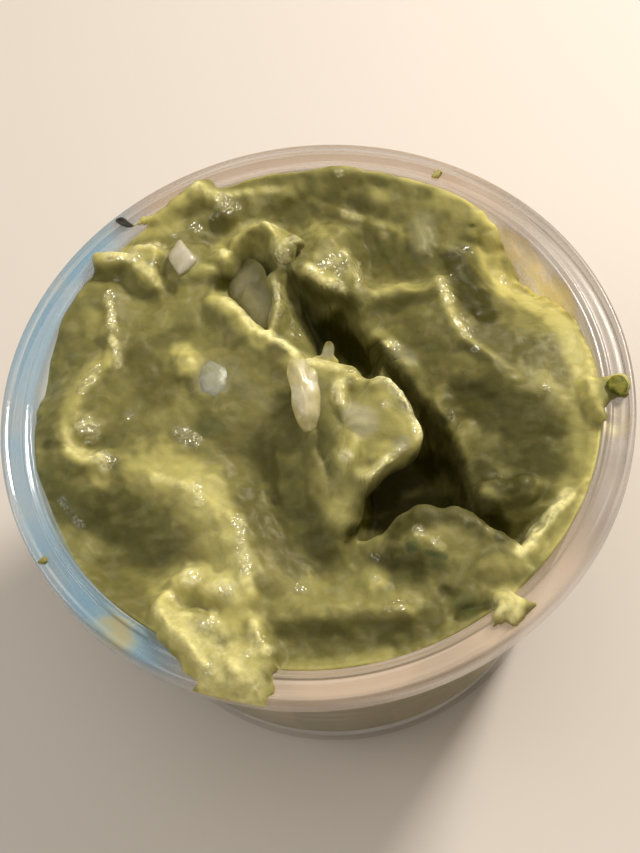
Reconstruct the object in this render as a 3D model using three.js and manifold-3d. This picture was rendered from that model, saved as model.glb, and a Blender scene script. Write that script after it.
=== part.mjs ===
// A clear round portion cup heaped with guacamole, in millimetres, +Z up.
//
// The cup stands on z = 0 with its axis on the Z axis. The front of the heap faces -Y.
// Everything above the floor of the cup is measured from the centre of the rim plane:
// x to the right, y to the back, z up from the top of the rim. A group lifts it by the cup's height.
//
// The guacamole is one solid: a disc whose top is a height field made of level marks, ridges,
// slabs, lumps and grooves, with deep hollows cut out of it, joined with the lobes that overhang
// them and with the spills on the rim, and trimmed to the room inside the cup. Onion pieces,
// a herb leaf and a speck are separate solids set into it.

import * as THREE from 'three';
import { mergeVertices } from 'three/addons/utils/BufferGeometryUtils.js';
import Module from 'manifold-3d';

const wasm = await Module();
wasm.setup();

// ---------------------------------------------------------------- driving dimensions

const CUP = {
  height: 40,          // base to the top of the rim
  rimRadius: 37,       // outside of the rolled rim
  wallTopRadius: 33.2, // inside of the wall at the rim
  taper: 0.178,        // radius lost for each millimetre down
  wall: 0.8,
  floor: 1.2,
  footWidth: 3,        // flat ring that the cup rests on
  footRecess: 0.8,
  skirt: 3,            // depth of the lip that hangs from the rim
  lipThickness: 0.7,
  segments: 72,
};

const GAP = 0.3;         // clearance between neighbouring solids
const HEADROOM = 15;     // top of the room above the rim plane
const DISC_CELLS = 55;   // cells across the guacamole's top surface
const CUT_DEPTH = 45;    // the rough disc reaches below the floor before it is trimmed

// ---------------------------------------------------------------- level of the surface
// Each mark is [x, y, z]. A thin plate bent over all the marks gives the level between them.

const WALL_MARKS = [
  [-32.6, 1, -3], [-31.6, 8.5, -3.6], [-29.2, 15.5, -2.6], [-26, 20.5, -0.5], [-23, 24.5, -0.8],
  [-17, 29, -0.2], [-9, 32, 0.3], [0, 33, -0.3], [8, 32.6, 0.2], [15, 30, 0.2], [20.3, 26, -0.3],
  [23.8, 22.8, -0.8], [25.5, 19.5, -6], [28, 15.5, -9], [30.3, 11.5, -6], [31.9, 7, -3.2],
  [32.8, 2, -2], [32.6, -6, -1.4], [31, -12, -1.4], [27.4, -18.7, -1], [22, -24.8, -0.5],
  [16, -29, -0.5], [9, -31.8, -0.8], [0, -33, -0.8], [-8, -32, -0.6], [-15, -29.5, 0],
  [-22, -24.5, -0.2], [-26.5, -19.5, -1.6], [-29.5, -14, -3], [-32.2, -6, -3.2],
];

const LEFT_MARKS = [
  [-28, 10, -1], [-26, 3, 0.4], [-20, 14, 0.2], [-18, 6, 0.2], [-12, 5, -0.2], [-8, 10, 0.8],
  [-5, 3, 1], [-16, -2, 0.7], [-10, -4, -0.6], [-6, -9, -1.4], [-3, -15, -2.2], [-1, -21, -2.6],
  [-6, -22, -1.4], [-28, -5, -2.6], [-24, -8, -3.4], [-20, -11.5, -3.2], [-23, -15, -4.6],
  [-18, -16.5, -2.4], [-27, -12, -4.4],
];

const BACK_MARKS = [
  [-15, 18, -1], [-19, 20, -0.8], [-12, 20, -1.2], [-12, 27, -0.8], [-7, 27, -2.4],
  [0, 27, -3.6], [6, 26, -3.2], [11, 24, -2.4], [9, 19, -3.6], [14, 21, -2], [18, 22, -1.2],
  [12, 16, -2.8], [17, 16, -1.6], [20, 18, -1.8], [4, 20, -3.4],
];

const RIGHT_MARKS = [
  [19, 11.5, 1], [21.2, 9, -0.6], [22.4, 4, 0.2], [25, 10, -3.4], [27, 4, -0.8], [12, 8, -0.2],
  [14, 4, 0.4], [10, 2, 0.4], [13, -2, 1], [18, -2, 1.4], [22, -3, 1], [26, -4, -0.4],
  [29, 0, -1.4], [29.4, -7, -2.2], [16, -9, 0.6], [21, -9, 0], [26, -11, -2.2],
  [19, -14, -1.2], [23, -15, -3.2], [17, -15.5, -1.4],
];

const FRONT_MARKS = [
  [10, -21, 1.6], [14, -21.5, 1.1], [7, -22.5, 1], [3, -24, -0.6], [15, -26, -0.2],
  [10, -25.5, -0.2], [18.5, -26, -0.6],
];

const MARKS = [...WALL_MARKS, ...LEFT_MARKS, ...BACK_MARKS, ...RIGHT_MARKS, ...FRONT_MARKS];
const PLATE_SLACK = 3;   // how far the plate may pass by its marks, 0 for none

// ---------------------------------------------------------------- slabs
// A slab is a closed outline [x, y]. One with a top is levelled to it, one with a lift is raised.

const SLABS = [
  {
    name: 'upper left slab', top: 2.2, edge: 1.2,
    outline: [[-23.4, 25.2], [-20, 24.2], [-16.5, 24.8], [-14.6, 24], [-15.6, 21.8],
      [-16.6, 19.6], [-18, 21.2], [-20.4, 22.2], [-23.2, 22.8]],
  },
  {
    name: 'right fold', lift: 0.9, edge: 1.4,
    outline: [[7.4, 12.4], [10.5, 13.2], [12, 12.9], [15, 12], [17.3, 12.6], [17.2, 9.6],
      [17.8, 6], [19.2, 4], [22, 0.6], [24.2, -2.6], [26, -1], [25, 4], [22.6, 8], [20.4, 13],
      [18.5, 16], [12, 16], [8, 15]],
  },
];

// ---------------------------------------------------------------- ridges
// A ridge follows its crest [x, y, z]. left and right are the half widths of its two slopes,
// seen along the crest, and depth is how far they fall. blend rounds it into the level.

const RIDGES = [
  {
    name: 'far bank', left: 1.6, right: 1.8, depth: 2.2,
    crest: [[-17, 30.2, 0.2], [-13.5, 30.6, 0.9], [-10.5, 31.5, 1.4], [-8.9, 32.2, 2.2],
      [-7.6, 31, 1.2], [-5, 30.9, 0.3], [-2.5, 30.7, 0.1], [1.5, 30.2, -0.8]],
  },
  {
    name: 'far lip', left: 1.5, right: 1.8, depth: 2,
    crest: [[3, 31.8, 0.2], [7, 32.2, 0.6], [10, 31.6, 0.7], [14, 30, 0.5], [18, 27.4, 0.3],
      [21, 25, 0.2], [23.6, 22.6, 0.2], [24.8, 20.8, -1.6], [25, 19, -4]],
  },
  {
    name: 'arch', left: 1.9, right: 1.5, depth: 5.5,
    crest: [[-7, 21.5, -0.5], [-6.2, 23.3, 1.6], [-4, 24.4, 2.8], [-2, 23.6, 3.4],
      [-1, 21.5, 3.4], [-0.6, 19.8, 3], [-1.2, 18.2, 2.2], [-2.4, 17, 1.8]],
  },
  {
    name: 'divider', left: 1.1, right: 1.2, depth: 7,
    crest: [[-2.4, 18, 1.8], [-2, 14.8, 2.4], [-2.4, 11.6, 2.6], [-3.4, 9.6, 2.6]],
  },
  {
    name: 'roll', left: 1.1, right: 1.2, depth: 5,
    crest: [[-4.6, 9, 2.9], [-3, 7.6, 3.1], [-1.2, 5.2, 3.1]],
  },
  {
    name: 'plateau edge', left: 1.1, right: 4.2, depth: 3.2,
    crest: [[-11, 17.6, -0.6], [-9.6, 16, 1], [-8, 14.8, 2.3], [-6.5, 11.6, 2.7],
      [-5.4, 9.8, 2.6], [-3.6, 7.6, 2.7], [-1.6, 5, 2.8]],
  },
  {
    name: 'left ridge', left: 1.8, right: 2.6, depth: 2.2,
    crest: [[-21.8, 20.5, 0.2], [-22.2, 16.5, 1.5], [-22.2, 12.2, 1.7], [-23, 9.2, 1.5],
      [-24.6, 8, 1.6], [-27, 5.6, 1.8], [-28.8, 2.6, 1.6], [-29.4, -0.2, 1.3],
      [-28.4, -2, 1.2], [-26, -3, 1.4], [-24.6, -3, 1.2]],
  },
  {
    name: 'left tip', left: 1.2, right: 1.2, depth: 2.5,
    crest: [[-24.8, -3.2, 1.3], [-25.4, -4.6, 0.6], [-26.2, -5.6, -0.6]],
  },
  {
    name: 'centre left ridge', left: 4.5, right: 4, depth: 4, blend: 1.6,
    crest: [[-21.4, -4.6, 0.4], [-18, -7.3, 1.3], [-15.5, -9.4, 1.8], [-13, -12.8, 1.9],
      [-11, -15, 2], [-10.6, -18.8, 2], [-11, -22.6, 1.8], [-12.5, -25, 1.4]],
  },
  {
    name: 'spill ridge', left: 2.2, right: 1.3, depth: 3,
    crest: [[-19.6, -20.4, 0.3], [-21.2, -23, 1.2], [-20, -25.2, 2.2], [-18.5, -27.6, 2.5],
      [-17.3, -30, 2.4]],
  },
  {
    name: 'front ridge', left: 2.4, right: 1.2, depth: 2.8,
    crest: [[-10.5, -26, 0.8], [-8, -26.5, 1.4], [-4, -26.8, 1.6], [0, -27, 1.5],
      [4, -27.7, 1.3], [6.5, -28.2, 0.4]],
  },
  {
    name: 'wall ridge', left: 1.2, right: 2, depth: 2.2,
    crest: [[28.5, -15.6, -0.6], [26.8, -17.4, -0.2], [24, -20.2, 0.2], [21, -23.2, 0.2],
      [19.4, -24, -0.2]],
  },
  {
    name: 'back fold', left: 1.1, right: 1.8, depth: 1.3,
    crest: [[4, 27, -2.2], [8, 25.2, -1.7], [11, 23.8, -1.5], [14, 22.6, -1.5]],
  },
  {
    name: 'back peak', left: 1.2, right: 1.6, depth: 2.2,
    crest: [[3.4, 25.6, -2.6], [4, 23, -1.2], [5.2, 21, 0.2]],
  },
  {
    name: 'fold crest', left: 1.6, right: 1, depth: 1.4,
    crest: [[7.4, 12.2, 0.5], [10.5, 13, 1.1], [12, 12.8, 1.2], [15, 12, 1.5],
      [17.2, 12.4, 2.4], [17.2, 9.8, 2.2], [17.8, 6, 1.9], [19.2, 3.8, 1.8], [22, 0.6, 1.5],
      [24.2, -2.6, 0.8]],
  },
  {
    name: 'right wall film', left: 1.1, right: 1.2, depth: 2.4,
    crest: [[24.8, 19.6, -4], [26.4, 16.2, -6.6], [28.4, 14.6, -7.4], [30.2, 11.8, -5.4],
      [31.7, 7.4, -3], [32.4, 2, -1.6], [32.2, -3, -1.2], [32, -8, -1.2], [30.8, -13, -1.2]],
  },
];
const RIDGE_BLEND = 0.5;

// ---------------------------------------------------------------- lumps
// A lump is half an ellipsoid: its top at [x, y, z], its radii across and along, turned by turn.

const LUMPS = [
  { name: 'yellow crumb', top: [-8, 21.8, 1.2], across: 1.1, along: 1.5, rise: 1.6 },
  { name: 'pale bump', top: [12, 26.6, -0.9], across: 1.6, along: 1.2, rise: 1 },
  { name: 'knob', top: [-17, -19.8, 1.6], across: 1.8, along: 1.4, rise: 2 },
  { name: 'broad knob', top: [-13, -21.6, 2.4], across: 2.2, along: 1.6, rise: 1.6 },
  { name: 'edge lump 1', top: [8.6, 6.2, 1.4], across: 1.2, along: 1.3, rise: 2 },
  { name: 'edge lump 2', top: [10, 3.6, 1.4], across: 1.4, along: 1.2, rise: 2 },
  { name: 'edge lump 3', top: [12.6, -2.4, 1.9], across: 1.4, along: 2.6, rise: 2, turn: -0.4 },
  { name: 'edge lump 4', top: [15.2, -7.4, 1.3], across: 1.4, along: 2.6, rise: 2, turn: -0.4 },
  { name: 'plateau lump', top: [-13.8, 7.6, 1.4], across: 2, along: 2.2, rise: 1.6 },
  { name: 'plateau swell', top: [-15, 13.5, 0.8], across: 4, along: 1.3, rise: 1, turn: 0.6 },
  { name: 'onion under film', top: [16.6, 21, -0.6], across: 1.6, along: 3, rise: 1, turn: -0.2 },
  { name: 'lip lump', top: [20.5, -14.6, -0.8], across: 3.4, along: 1.6, rise: 1.4 },
];
const LUMP_BLEND = 0.5;

// ---------------------------------------------------------------- lumpiness of the mash
// Crossing waves, each with a length, a direction and a height, give soft lumps everywhere.

const MASH_WAVES = [
  { length: 7.3, direction: 0.4, height: 0.16, phase: 0.5 },
  { length: 6.1, direction: 1.5, height: 0.16, phase: 2.1 },
  { length: 4.7, direction: 2.5, height: 0.12, phase: 3.7 },
  { length: 4.1, direction: -0.4, height: 0.1, phase: 5.2 },
];

// ---------------------------------------------------------------- grooves and deep hollows
// A groove is a closed outline [x, y] with a floor. Its walls fall over the width called edge.

const GROOVES = [
  {
    name: 'slot', floor: -6, edge: 2.2,
    outline: [[13.8, -15.2], [16.6, -15.2], [19, -16], [22.6, -16.2], [24.6, -17.6],
      [22.4, -20], [20.8, -22], [19.4, -23], [17.6, -20.8], [15.4, -18.2]],
  },
  {
    name: 'front groove', floor: -2.6, edge: 1.6,
    outline: [[-9, -27.9], [-4, -28.6], [2, -29], [8, -29.6], [7.6, -30.8], [0, -30.6],
      [-8.6, -29.6]],
  },
  {
    name: 'front hole', floor: -2, edge: 1,
    outline: [[9.4, -25.4], [11.6, -25.8], [12.8, -27.2], [11, -27.6], [9.6, -26.8]],
  },
  {
    name: 'corner groove', floor: -2.4, edge: 1,
    outline: [[10.4, -29.6], [13, -29.4], [15.2, -28.8], [15.6, -27.6], [13, -27.8],
      [11, -28.2]],
  },
];

// A deep hollow is cut straight down from its outline to its floor.

const HOLLOWS = [
  {
    name: 'left hollow', floor: -5,
    outline: [[-9.6, 17.8], [-8, 15.8], [-6.2, 12.8], [-4.9, 10.9], [-3.8, 11.2], [-3.4, 14],
      [-3.6, 17.5], [-3.6, 20.2], [-4.5, 22], [-6, 21.6], [-8.2, 20]],
  },
  {
    name: 'channel', floor: -12,
    outline: [[-0.9, 17.4], [0.8, 17.4], [4, 14.2], [6.7, 11.4], [7.5, 8.4], [8.9, 3.8],
      [11.3, -2.8], [12.9, -7.5], [13.5, -12], [15.2, -15.6], [15, -16.8], [12.4, -16],
      [10, -15.4], [7.4, -16.6], [4.8, -18.2], [1.6, -18.4], [0.6, -15], [1.8, -9],
      [2.8, -3], [1, 1.8], [-0.3, 5.2], [-0.6, 9], [-0.8, 13]],
  },
];

// ---------------------------------------------------------------- lobes and spills
// A lobe is a cushion-shaped solid: a closed outline [x, y, z] round a centre [x, y, z], domed
// by rise above that and by drop below it. boxiness squares its sides: 2 is an ellipsoid.

const LOBES = [
  {
    name: 'chunk block', centre: [2.6, 0.6, 4.2], rise: 1.4, drop: 4.6, boxiness: 3,
    outline: [[-1.2, 3.4, 4.2], [1, 3.4, 4.4], [3, 2.4, 4.6], [5, 1.8, 4.4], [5.9, 0.6, 4.2],
      [6, -1, 4.2], [4.4, -3, 4], [1, -4, 3.4], [-0.8, -3.4, 3], [-1.3, 0, 3.8]],
  },
  {
    name: 'chunk', centre: [6.2, -5, 3.9], rise: 1.5, drop: 4.8, boxiness: 3.4,
    outline: [[4, -0.6, 4.2], [6.3, -0.9, 4.3], [8, -0.2, 4.9], [9.2, -1.2, 4.7],
      [10.2, -3.5, 4.4], [11.1, -6, 4], [11.5, -8, 3.4], [10.8, -9.6, 3], [9, -10.4, 2.8],
      [6.8, -11.8, 2.3], [4.6, -12.4, 1.9], [2.6, -12.4, 1.6], [0.6, -10, 1.6], [0.2, -7, 2],
      [0.8, -4, 3]],
  },
  {
    name: 'lower lobe', centre: [0.8, -12.6, 1.2], rise: 1.5, drop: 4.2, boxiness: 2.6,
    outline: [[-1.5, -8, 1], [0.6, -6.5, 2], [3, -8.6, 2.2], [3.6, -11.4, 1.8],
      [3.4, -13.4, 1.6], [3.1, -15, 1.2], [1.4, -17.2, 0.7], [0, -18, 0.4], [-1.5, -16.4, 0.2],
      [-2.2, -14, 0.1], [-2.3, -11, 0.3]],
  },
  {
    name: 'top lump', centre: [5.2, 17.6, 0.9], rise: 1.8, drop: 5, boxiness: 2.6,
    outline: [[1.4, 16.6, 1], [2.2, 18.2, 1.2], [4.2, 20, 1.2], [6, 21.4, 0.8],
      [7.6, 19.6, 0.8], [8.2, 17.6, 0.8], [7.4, 14.8, 0.8], [5, 14.2, 1], [3.2, 14.6, 1.2]],
  },
  {
    name: 'curled tip', centre: [0.4, 20.2, 2.8], rise: 0.7, drop: 1.2, boxiness: 2,
    outline: [[-1.6, 19.4, 2.8], [-1, 21.2, 3], [0.8, 21.2, 3], [1.9, 20.2, 2.6],
      [0.9, 19.6, 2.8], [0.4, 18.6, 2.6], [-1, 18.2, 2.4]],
  },
  {
    name: 'spill over the rim', centre: [-14, -29.6, 0.9], rise: 1.4, drop: 2.6, boxiness: 3,
    outline: [[-20.6, -24.8, 1], [-20.2, -27.4, 1], [-19.4, -29.6, 0.9], [-18.2, -31.4, 0.8],
      [-16.6, -32.8, 0.8], [-14.3, -33.8, 0.8], [-12.3, -34.5, 0.7], [-11.4, -33.8, 0.7],
      [-9.6, -32.8, 0.7], [-7.8, -31.6, 0.4], [-8.8, -29, 0.6], [-12.4, -26, 0.8],
      [-17.4, -23.8, 0.8]],
  },
  {
    name: 'far peak', centre: [-10.4, 31.7, 1], rise: 1.4, drop: 2, boxiness: 2.6,
    outline: [[-17.6, 29.2, 0.6], [-14.6, 31, 0.7], [-11.6, 32.2, 0.8], [-9.2, 33.5, 0.9],
      [-7.4, 32.4, 0.7], [-6, 31, 0.4], [-8.4, 30, 0.5], [-13, 29, 0.6]],
  },
  {
    name: 'slab end', centre: [-22, 24.2, 1.3], rise: 0.8, drop: 2.6, boxiness: 3,
    outline: [[-24, 25.1, 1.3], [-22.6, 25.8, 1.3], [-20.4, 25, 1.4], [-20, 22.8, 1.2],
      [-22.6, 22.6, 1.1], [-23.8, 23.6, 1.2]],
  },
  {
    name: 'small peak', centre: [17, -29.3, 0.8], rise: 1, drop: 1.8, boxiness: 2,
    outline: [[15.4, -27.8, 0.4], [17, -28.2, 0.8], [18.4, -29, 0.7], [19.6, -29.7, 0.6],
      [18.3, -30.3, 0.7], [17.4, -31.5, 0.6], [16.5, -30.7, 0.7], [15.2, -30.9, 0.6],
      [15.5, -29.4, 0.6]],
  },
  {
    name: 'rim smear', centre: [33.6, -4.6, 0.7], rise: 0.4, drop: 1.4, boxiness: 3,
    outline: [[30.8, -3, 0.2], [33, -3, 0.7], [35.4, -3, 0.7], [36.4, -4.2, 0.7],
      [36, -5.8, 0.7], [34.2, -6.2, 0.7], [33, -8, 0.6], [32.4, -11, 0.3], [31.4, -10.4, 0],
      [31.4, -6.6, 0.2]],
  },
];

// ---------------------------------------------------------------- pieces set into the guacamole

const HERB_THICKNESS = 0.9;

const PIECES = [
  {
    name: 'onion_strip_centre', colour: 0xd9d3bd, rise: 0.9, drop: 1.4, centre: [-1.4, -0.8, 4],
    boxiness: 2.4,
    outline: [[-2.2, 3, 4.2], [-1.2, 3.4, 4.4], [-0.3, 2.8, 4.6], [-0.1, 0.8, 4.6],
      [-0.2, -2, 4], [-0.5, -4.2, 3.4], [-1.4, -4.9, 3], [-2.6, -4, 3], [-2.8, -2, 3.4],
      [-2.4, 0, 3.8]],
  },
  {
    name: 'onion_slice_hollow', colour: 0x97917a, rise: 0.7, drop: 2.6, centre: [-5.8, 14.6, -2.6],
    boxiness: 3,
    outline: [[-7.8, 17, -3], [-6.4, 18.4, -2.4], [-4.8, 18.6, -1.8], [-4.4, 15.6, -1.8],
      [-4.4, 12.8, -1.8], [-5, 11.6, -2.2], [-6.2, 13.6, -2.8]],
  },
  {
    name: 'onion_dice_back', colour: 0xbab59c, rise: 0.9, drop: 1.8, centre: [-12.9, 22, 0.6],
    boxiness: 3,
    outline: [[-14.6, 23, 0.6], [-13, 24.2, 0.6], [-11.2, 22, 0.4], [-12.2, 20.2, 0.2],
      [-13.6, 19.8, 0.4], [-14.6, 21, 0.6]],
  },
  {
    name: 'onion_dice_left', colour: 0xa39f85, rise: 0.9, drop: 1.8, centre: [-11.3, 4.8, 0.5],
    boxiness: 3,
    outline: [[-13, 7.4, 0.5], [-11.6, 8, 0.5], [-10.2, 7.2, 0.4], [-9.6, 5.5, 0.4],
      [-9.8, 3.3, 0.3], [-11, 1.9, 0.2], [-12.4, 2.5, 0.3], [-13, 4.5, 0.4]],
  },
  {
    name: 'herb_leaf_rim', colour: 0x55631f, centre: [34.4, -4.9, 1.8],
    rise: HERB_THICKNESS / 2, drop: HERB_THICKNESS / 2, boxiness: 2,
    outline: [[33.4, -4.6, 1.8], [33.9, -3.9, 1.8], [34.8, -3.8, 1.8], [35.4, -4.4, 1.8],
      [35.5, -5.3, 1.8], [34.9, -6, 1.8], [34, -5.9, 1.8], [33.5, -5.4, 1.8]],
  },
  {
    name: 'dark_speck_rim', colour: 0x1c1a12, rise: 0.3, drop: 0.3, centre: [-19.3, 29.5, 0.7],
    boxiness: 2,
    outline: [[-20.3, 30.1, 0.7], [-19.4, 30.3, 0.7], [-18.6, 29.4, 0.7], [-18.1, 28.7, 0.7],
      [-18.8, 28.6, 0.7], [-19.8, 29.3, 0.7]],
  },
];

const CURVE_STEPS = 3;        // points between two named points of an outline or crest
const LOBE_RINGS = 4;         // rings from a lobe's centre to its edge, on each face
const LOBE_SIDE_LENGTH = 1.7; // millimetres of outline for each side of a lobe
const PIECE_RINGS = 3;
const PIECE_SIDES = 14;

// ---------------------------------------------------------------- small geometry helpers

const clamp = THREE.MathUtils.clamp;

/** A smooth step from 0 to 1 as t goes from 0 to 1. */
const smooth = (t) => THREE.MathUtils.smoothstep(t, 0, 1);

/** The larger of a and b, rounded where they meet over the height k. */
function smoothMax(a, b, k) {
  const h = clamp(0.5 + 0.5 * (a - b) / k, 0, 1);
  return b + (a - b) * h + k * h * (1 - h);
}

/** Points of a smooth curve through named points [x, y, z], open or closed. */
function smoothPoints(named, closed, count = named.length * CURVE_STEPS) {
  const points = named.map(([x, y, z = 0]) => new THREE.Vector3(x, y, z));
  const curve = new THREE.CatmullRomCurve3(points, closed, 'centripetal');
  const all = curve.getSpacedPoints(count);
  return closed ? all.slice(0, -1) : all;
}

/** Nearest point of segment a-b to (x, y): its distance, its side (+ is left) and its height. */
function nearestOnSegment(x, y, a, b) {
  const dx = b.x - a.x;
  const dy = b.y - a.y;
  const t = clamp(((x - a.x) * dx + (y - a.y) * dy) / (dx * dx + dy * dy || 1), 0, 1);
  const ex = x - a.x - t * dx;
  const ey = y - a.y - t * dy;
  return { distance: Math.hypot(ex, ey), side: dx * ey - dy * ex, z: a.z + t * (b.z - a.z) };
}

/** Nearest point of an open line to (x, y). */
function nearestOnLine(x, y, line) {
  let best = { distance: Infinity };
  for (let i = 0; i < line.length - 1; i += 1) {
    const near = nearestOnSegment(x, y, line[i], line[i + 1]);
    if (near.distance < best.distance) best = near;
  }
  return best;
}

/** Distance from (x, y) to a closed outline, positive inside it. */
function distanceInside(x, y, outline) {
  let distance = Infinity;
  let inside = false;
  outline.forEach((a, i) => {
    const b = outline[(i + 1) % outline.length];
    distance = Math.min(distance, nearestOnSegment(x, y, a, b).distance);
    const crosses = (a.y > y) !== (b.y > y);
    if (crosses && x < (b.x - a.x) * (y - a.y) / (b.y - a.y) + a.x) inside = !inside;
  });
  return inside ? distance : -distance;
}

/** Length of the straight-sided outline through named points. */
function outlineLength(named) {
  const points = named.map(([x, y]) => new THREE.Vector2(x, y));
  return points.reduce((sum, point, i) => sum + point.distanceTo(points[(i + 1) % points.length]), 0);
}

/** Solves a square linear system by elimination: rows times the answer gives right. */
function solveLinear(rows, right) {
  const n = right.length;
  const table = rows.map((row, i) => [...row, right[i]]);
  for (let k = 0; k < n; k += 1) {
    let pivot = k;
    for (let i = k + 1; i < n; i += 1) {
      if (Math.abs(table[i][k]) > Math.abs(table[pivot][k])) pivot = i;
    }
    [table[k], table[pivot]] = [table[pivot], table[k]];
    for (let i = k + 1; i < n; i += 1) {
      const factor = table[i][k] / table[k][k];
      for (let j = k; j <= n; j += 1) table[i][j] -= factor * table[k][j];
    }
  }
  const answer = new Array(n).fill(0);
  for (let k = n - 1; k >= 0; k -= 1) {
    let rest = table[k][n];
    for (let j = k + 1; j < n; j += 1) rest -= table[k][j] * answer[j];
    answer[k] = rest / table[k][k];
  }
  return answer;
}

/** A BufferGeometry from flat lists of coordinates and triangle corners. */
function meshGeometry(positions, triangles) {
  const geometry = new THREE.BufferGeometry();
  geometry.setAttribute('position', new THREE.Float32BufferAttribute(positions, 3));
  geometry.setIndex(triangles);
  return geometry;
}

/** A manifold solid from a closed geometry. */
function toSolid(geometry) {
  const bare = geometry.clone();
  bare.deleteAttribute('normal');
  bare.deleteAttribute('uv');
  const merged = mergeVertices(bare);
  return new wasm.Manifold(new wasm.Mesh({
    numProp: 3,
    vertProperties: new Float32Array(merged.attributes.position.array),
    triVerts: new Uint32Array(merged.index.array),
  }));
}

/** The largest separate body of a solid, as a geometry. */
function toGeometry(solid) {
  const bodies = solid.decompose().sort((a, b) => b.volume() - a.volume());
  const mesh = bodies[0].getMesh();
  return meshGeometry(Array.from(mesh.vertProperties), Array.from(mesh.triVerts));
}

// ---------------------------------------------------------------- the guacamole's top surface

const slabs = SLABS.map((slab) => ({ ...slab, outline: smoothPoints(slab.outline, true) }));
const ridges = RIDGES.map((ridge) => ({ ...ridge, crest: smoothPoints(ridge.crest, false) }));
const grooves = GROOVES.map((groove) => ({ ...groove, outline: smoothPoints(groove.outline, true) }));

/** How a thin plate bends at distance r from a point load: r squared times the logarithm of r. */
function plateBend(dx, dy) {
  const squared = dx * dx + dy * dy;
  return squared > 0 ? 0.5 * squared * Math.log(squared) : 0;
}

/** The plate's loads, one for each mark, and then its height and its two tilts at the centre. */
function plateLoads() {
  const rows = MARKS.map(([x, y], i) => [
    ...MARKS.map(([u, v], j) => (i === j ? PLATE_SLACK : plateBend(x - u, y - v))), 1, x, y,
  ]);
  for (const tilt of [() => 1, ([x]) => x, ([, y]) => y]) rows.push([...MARKS.map(tilt), 0, 0, 0]);
  return solveLinear(rows, [...MARKS.map((mark) => mark[2]), 0, 0, 0]);
}

const loads = plateLoads();

/** Level at (x, y): the thin plate bent over all the marks. */
function levelAt(x, y) {
  const [height, tiltX, tiltY] = loads.slice(MARKS.length);
  return MARKS.reduce(
    (sum, [markX, markY], i) => sum + loads[i] * plateBend(x - markX, y - markY),
    height + tiltX * x + tiltY * y,
  );
}

/** Height of a ridge over (x, y): its crest less a slope that steepens and then runs straight. */
function ridgeAt(x, y, ridge) {
  const near = nearestOnLine(x, y, ridge.crest);
  const t = near.distance / (near.side > 0 ? ridge.left : ridge.right);
  const slope = 1 - 1 / (1 + t ** 1.8);
  return near.z - ridge.depth * (1.25 * slope + Math.max(t - 1.5, 0));
}

/** Height of a lump over (x, y): an ellipsoid's cap that runs on downwards past its edge. */
function lumpAt(x, y, { top, across, along, rise, turn = 0 }) {
  const dx = x - top[0];
  const dy = y - top[1];
  const u = (dx * Math.cos(turn) + dy * Math.sin(turn)) / across;
  const v = (dy * Math.cos(turn) - dx * Math.sin(turn)) / along;
  const q = u * u + v * v;
  const cap = q < 1 ? 1 - Math.sqrt(1 - q) : q;
  return top[2] - rise * cap;
}

/** Lumpiness of the mash at (x, y): the sum of its waves. */
function mashAt(x, y) {
  return MASH_WAVES.reduce((sum, { length, direction, height, phase }) => {
    const along = x * Math.cos(direction) + y * Math.sin(direction);
    return sum + height * Math.sin(2 * Math.PI * along / length + phase);
  }, 0);
}

/** Height of the guacamole over (x, y), before the deep hollows are cut. */
function heightAt(x, y) {
  let z = levelAt(x, y);
  for (const slab of slabs) {
    const share = smooth(distanceInside(x, y, slab.outline) / slab.edge + 0.5);
    z += share * (slab.lift ?? Math.max(slab.top - z, 0));
  }
  for (const ridge of ridges) z = smoothMax(z, ridgeAt(x, y, ridge), ridge.blend ?? RIDGE_BLEND);
  for (const lump of LUMPS) z = smoothMax(z, lumpAt(x, y, lump), LUMP_BLEND);
  for (const groove of grooves) {
    const share = smooth(distanceInside(x, y, groove.outline) / groove.edge);
    z += share * Math.min(groove.floor - z, 0);
  }
  return z + mashAt(x, y);
}

/** Maps a square cell grid onto a disc, keeping the cells nearly equal in area. */
function squareToDisc(u, v, radius) {
  if (u === 0 && v === 0) return [0, 0];
  const wide = Math.abs(u) > Math.abs(v);
  const r = radius * (wide ? u : v);
  const angle = wide ? Math.PI / 4 * (v / u) : Math.PI / 2 - Math.PI / 4 * (u / v);
  return [r * Math.cos(angle), r * Math.sin(angle)];
}

/** The rough disc of guacamole: the height field above, straight sides, a flat underside. */
function roughDisc() {
  const n = DISC_CELLS;
  const radius = CUP.wallTopRadius + 1;
  const positions = [];
  const triangles = [];
  const at = (i, j) => i * (n + 1) + j;
  for (let i = 0; i <= n; i += 1) {
    for (let j = 0; j <= n; j += 1) {
      const [x, y] = squareToDisc(2 * i / n - 1, 2 * j / n - 1, radius);
      positions.push(x, y, heightAt(x, y));
    }
  }
  for (let i = 0; i < n; i += 1) {
    for (let j = 0; j < n; j += 1) {
      triangles.push(at(i, j), at(i + 1, j), at(i + 1, j + 1));
      triangles.push(at(i, j), at(i + 1, j + 1), at(i, j + 1));
    }
  }
  const border = [];
  for (let k = 0; k < n; k += 1) border.push(at(k, 0));
  for (let k = 0; k < n; k += 1) border.push(at(n, k));
  for (let k = n; k > 0; k -= 1) border.push(at(k, n));
  for (let k = n; k > 0; k -= 1) border.push(at(0, k));
  const foot = (n + 1) ** 2;
  for (const index of border) {
    positions.push(positions[3 * index], positions[3 * index + 1], -CUT_DEPTH);
  }
  const centre = foot + border.length;
  positions.push(0, 0, -CUT_DEPTH);
  border.forEach((top, k) => {
    const next = (k + 1) % border.length;
    triangles.push(border[next], top, foot + k);
    triangles.push(border[next], foot + k, foot + next);
    triangles.push(centre, foot + next, foot + k);
  });
  return meshGeometry(positions, triangles);
}

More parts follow.
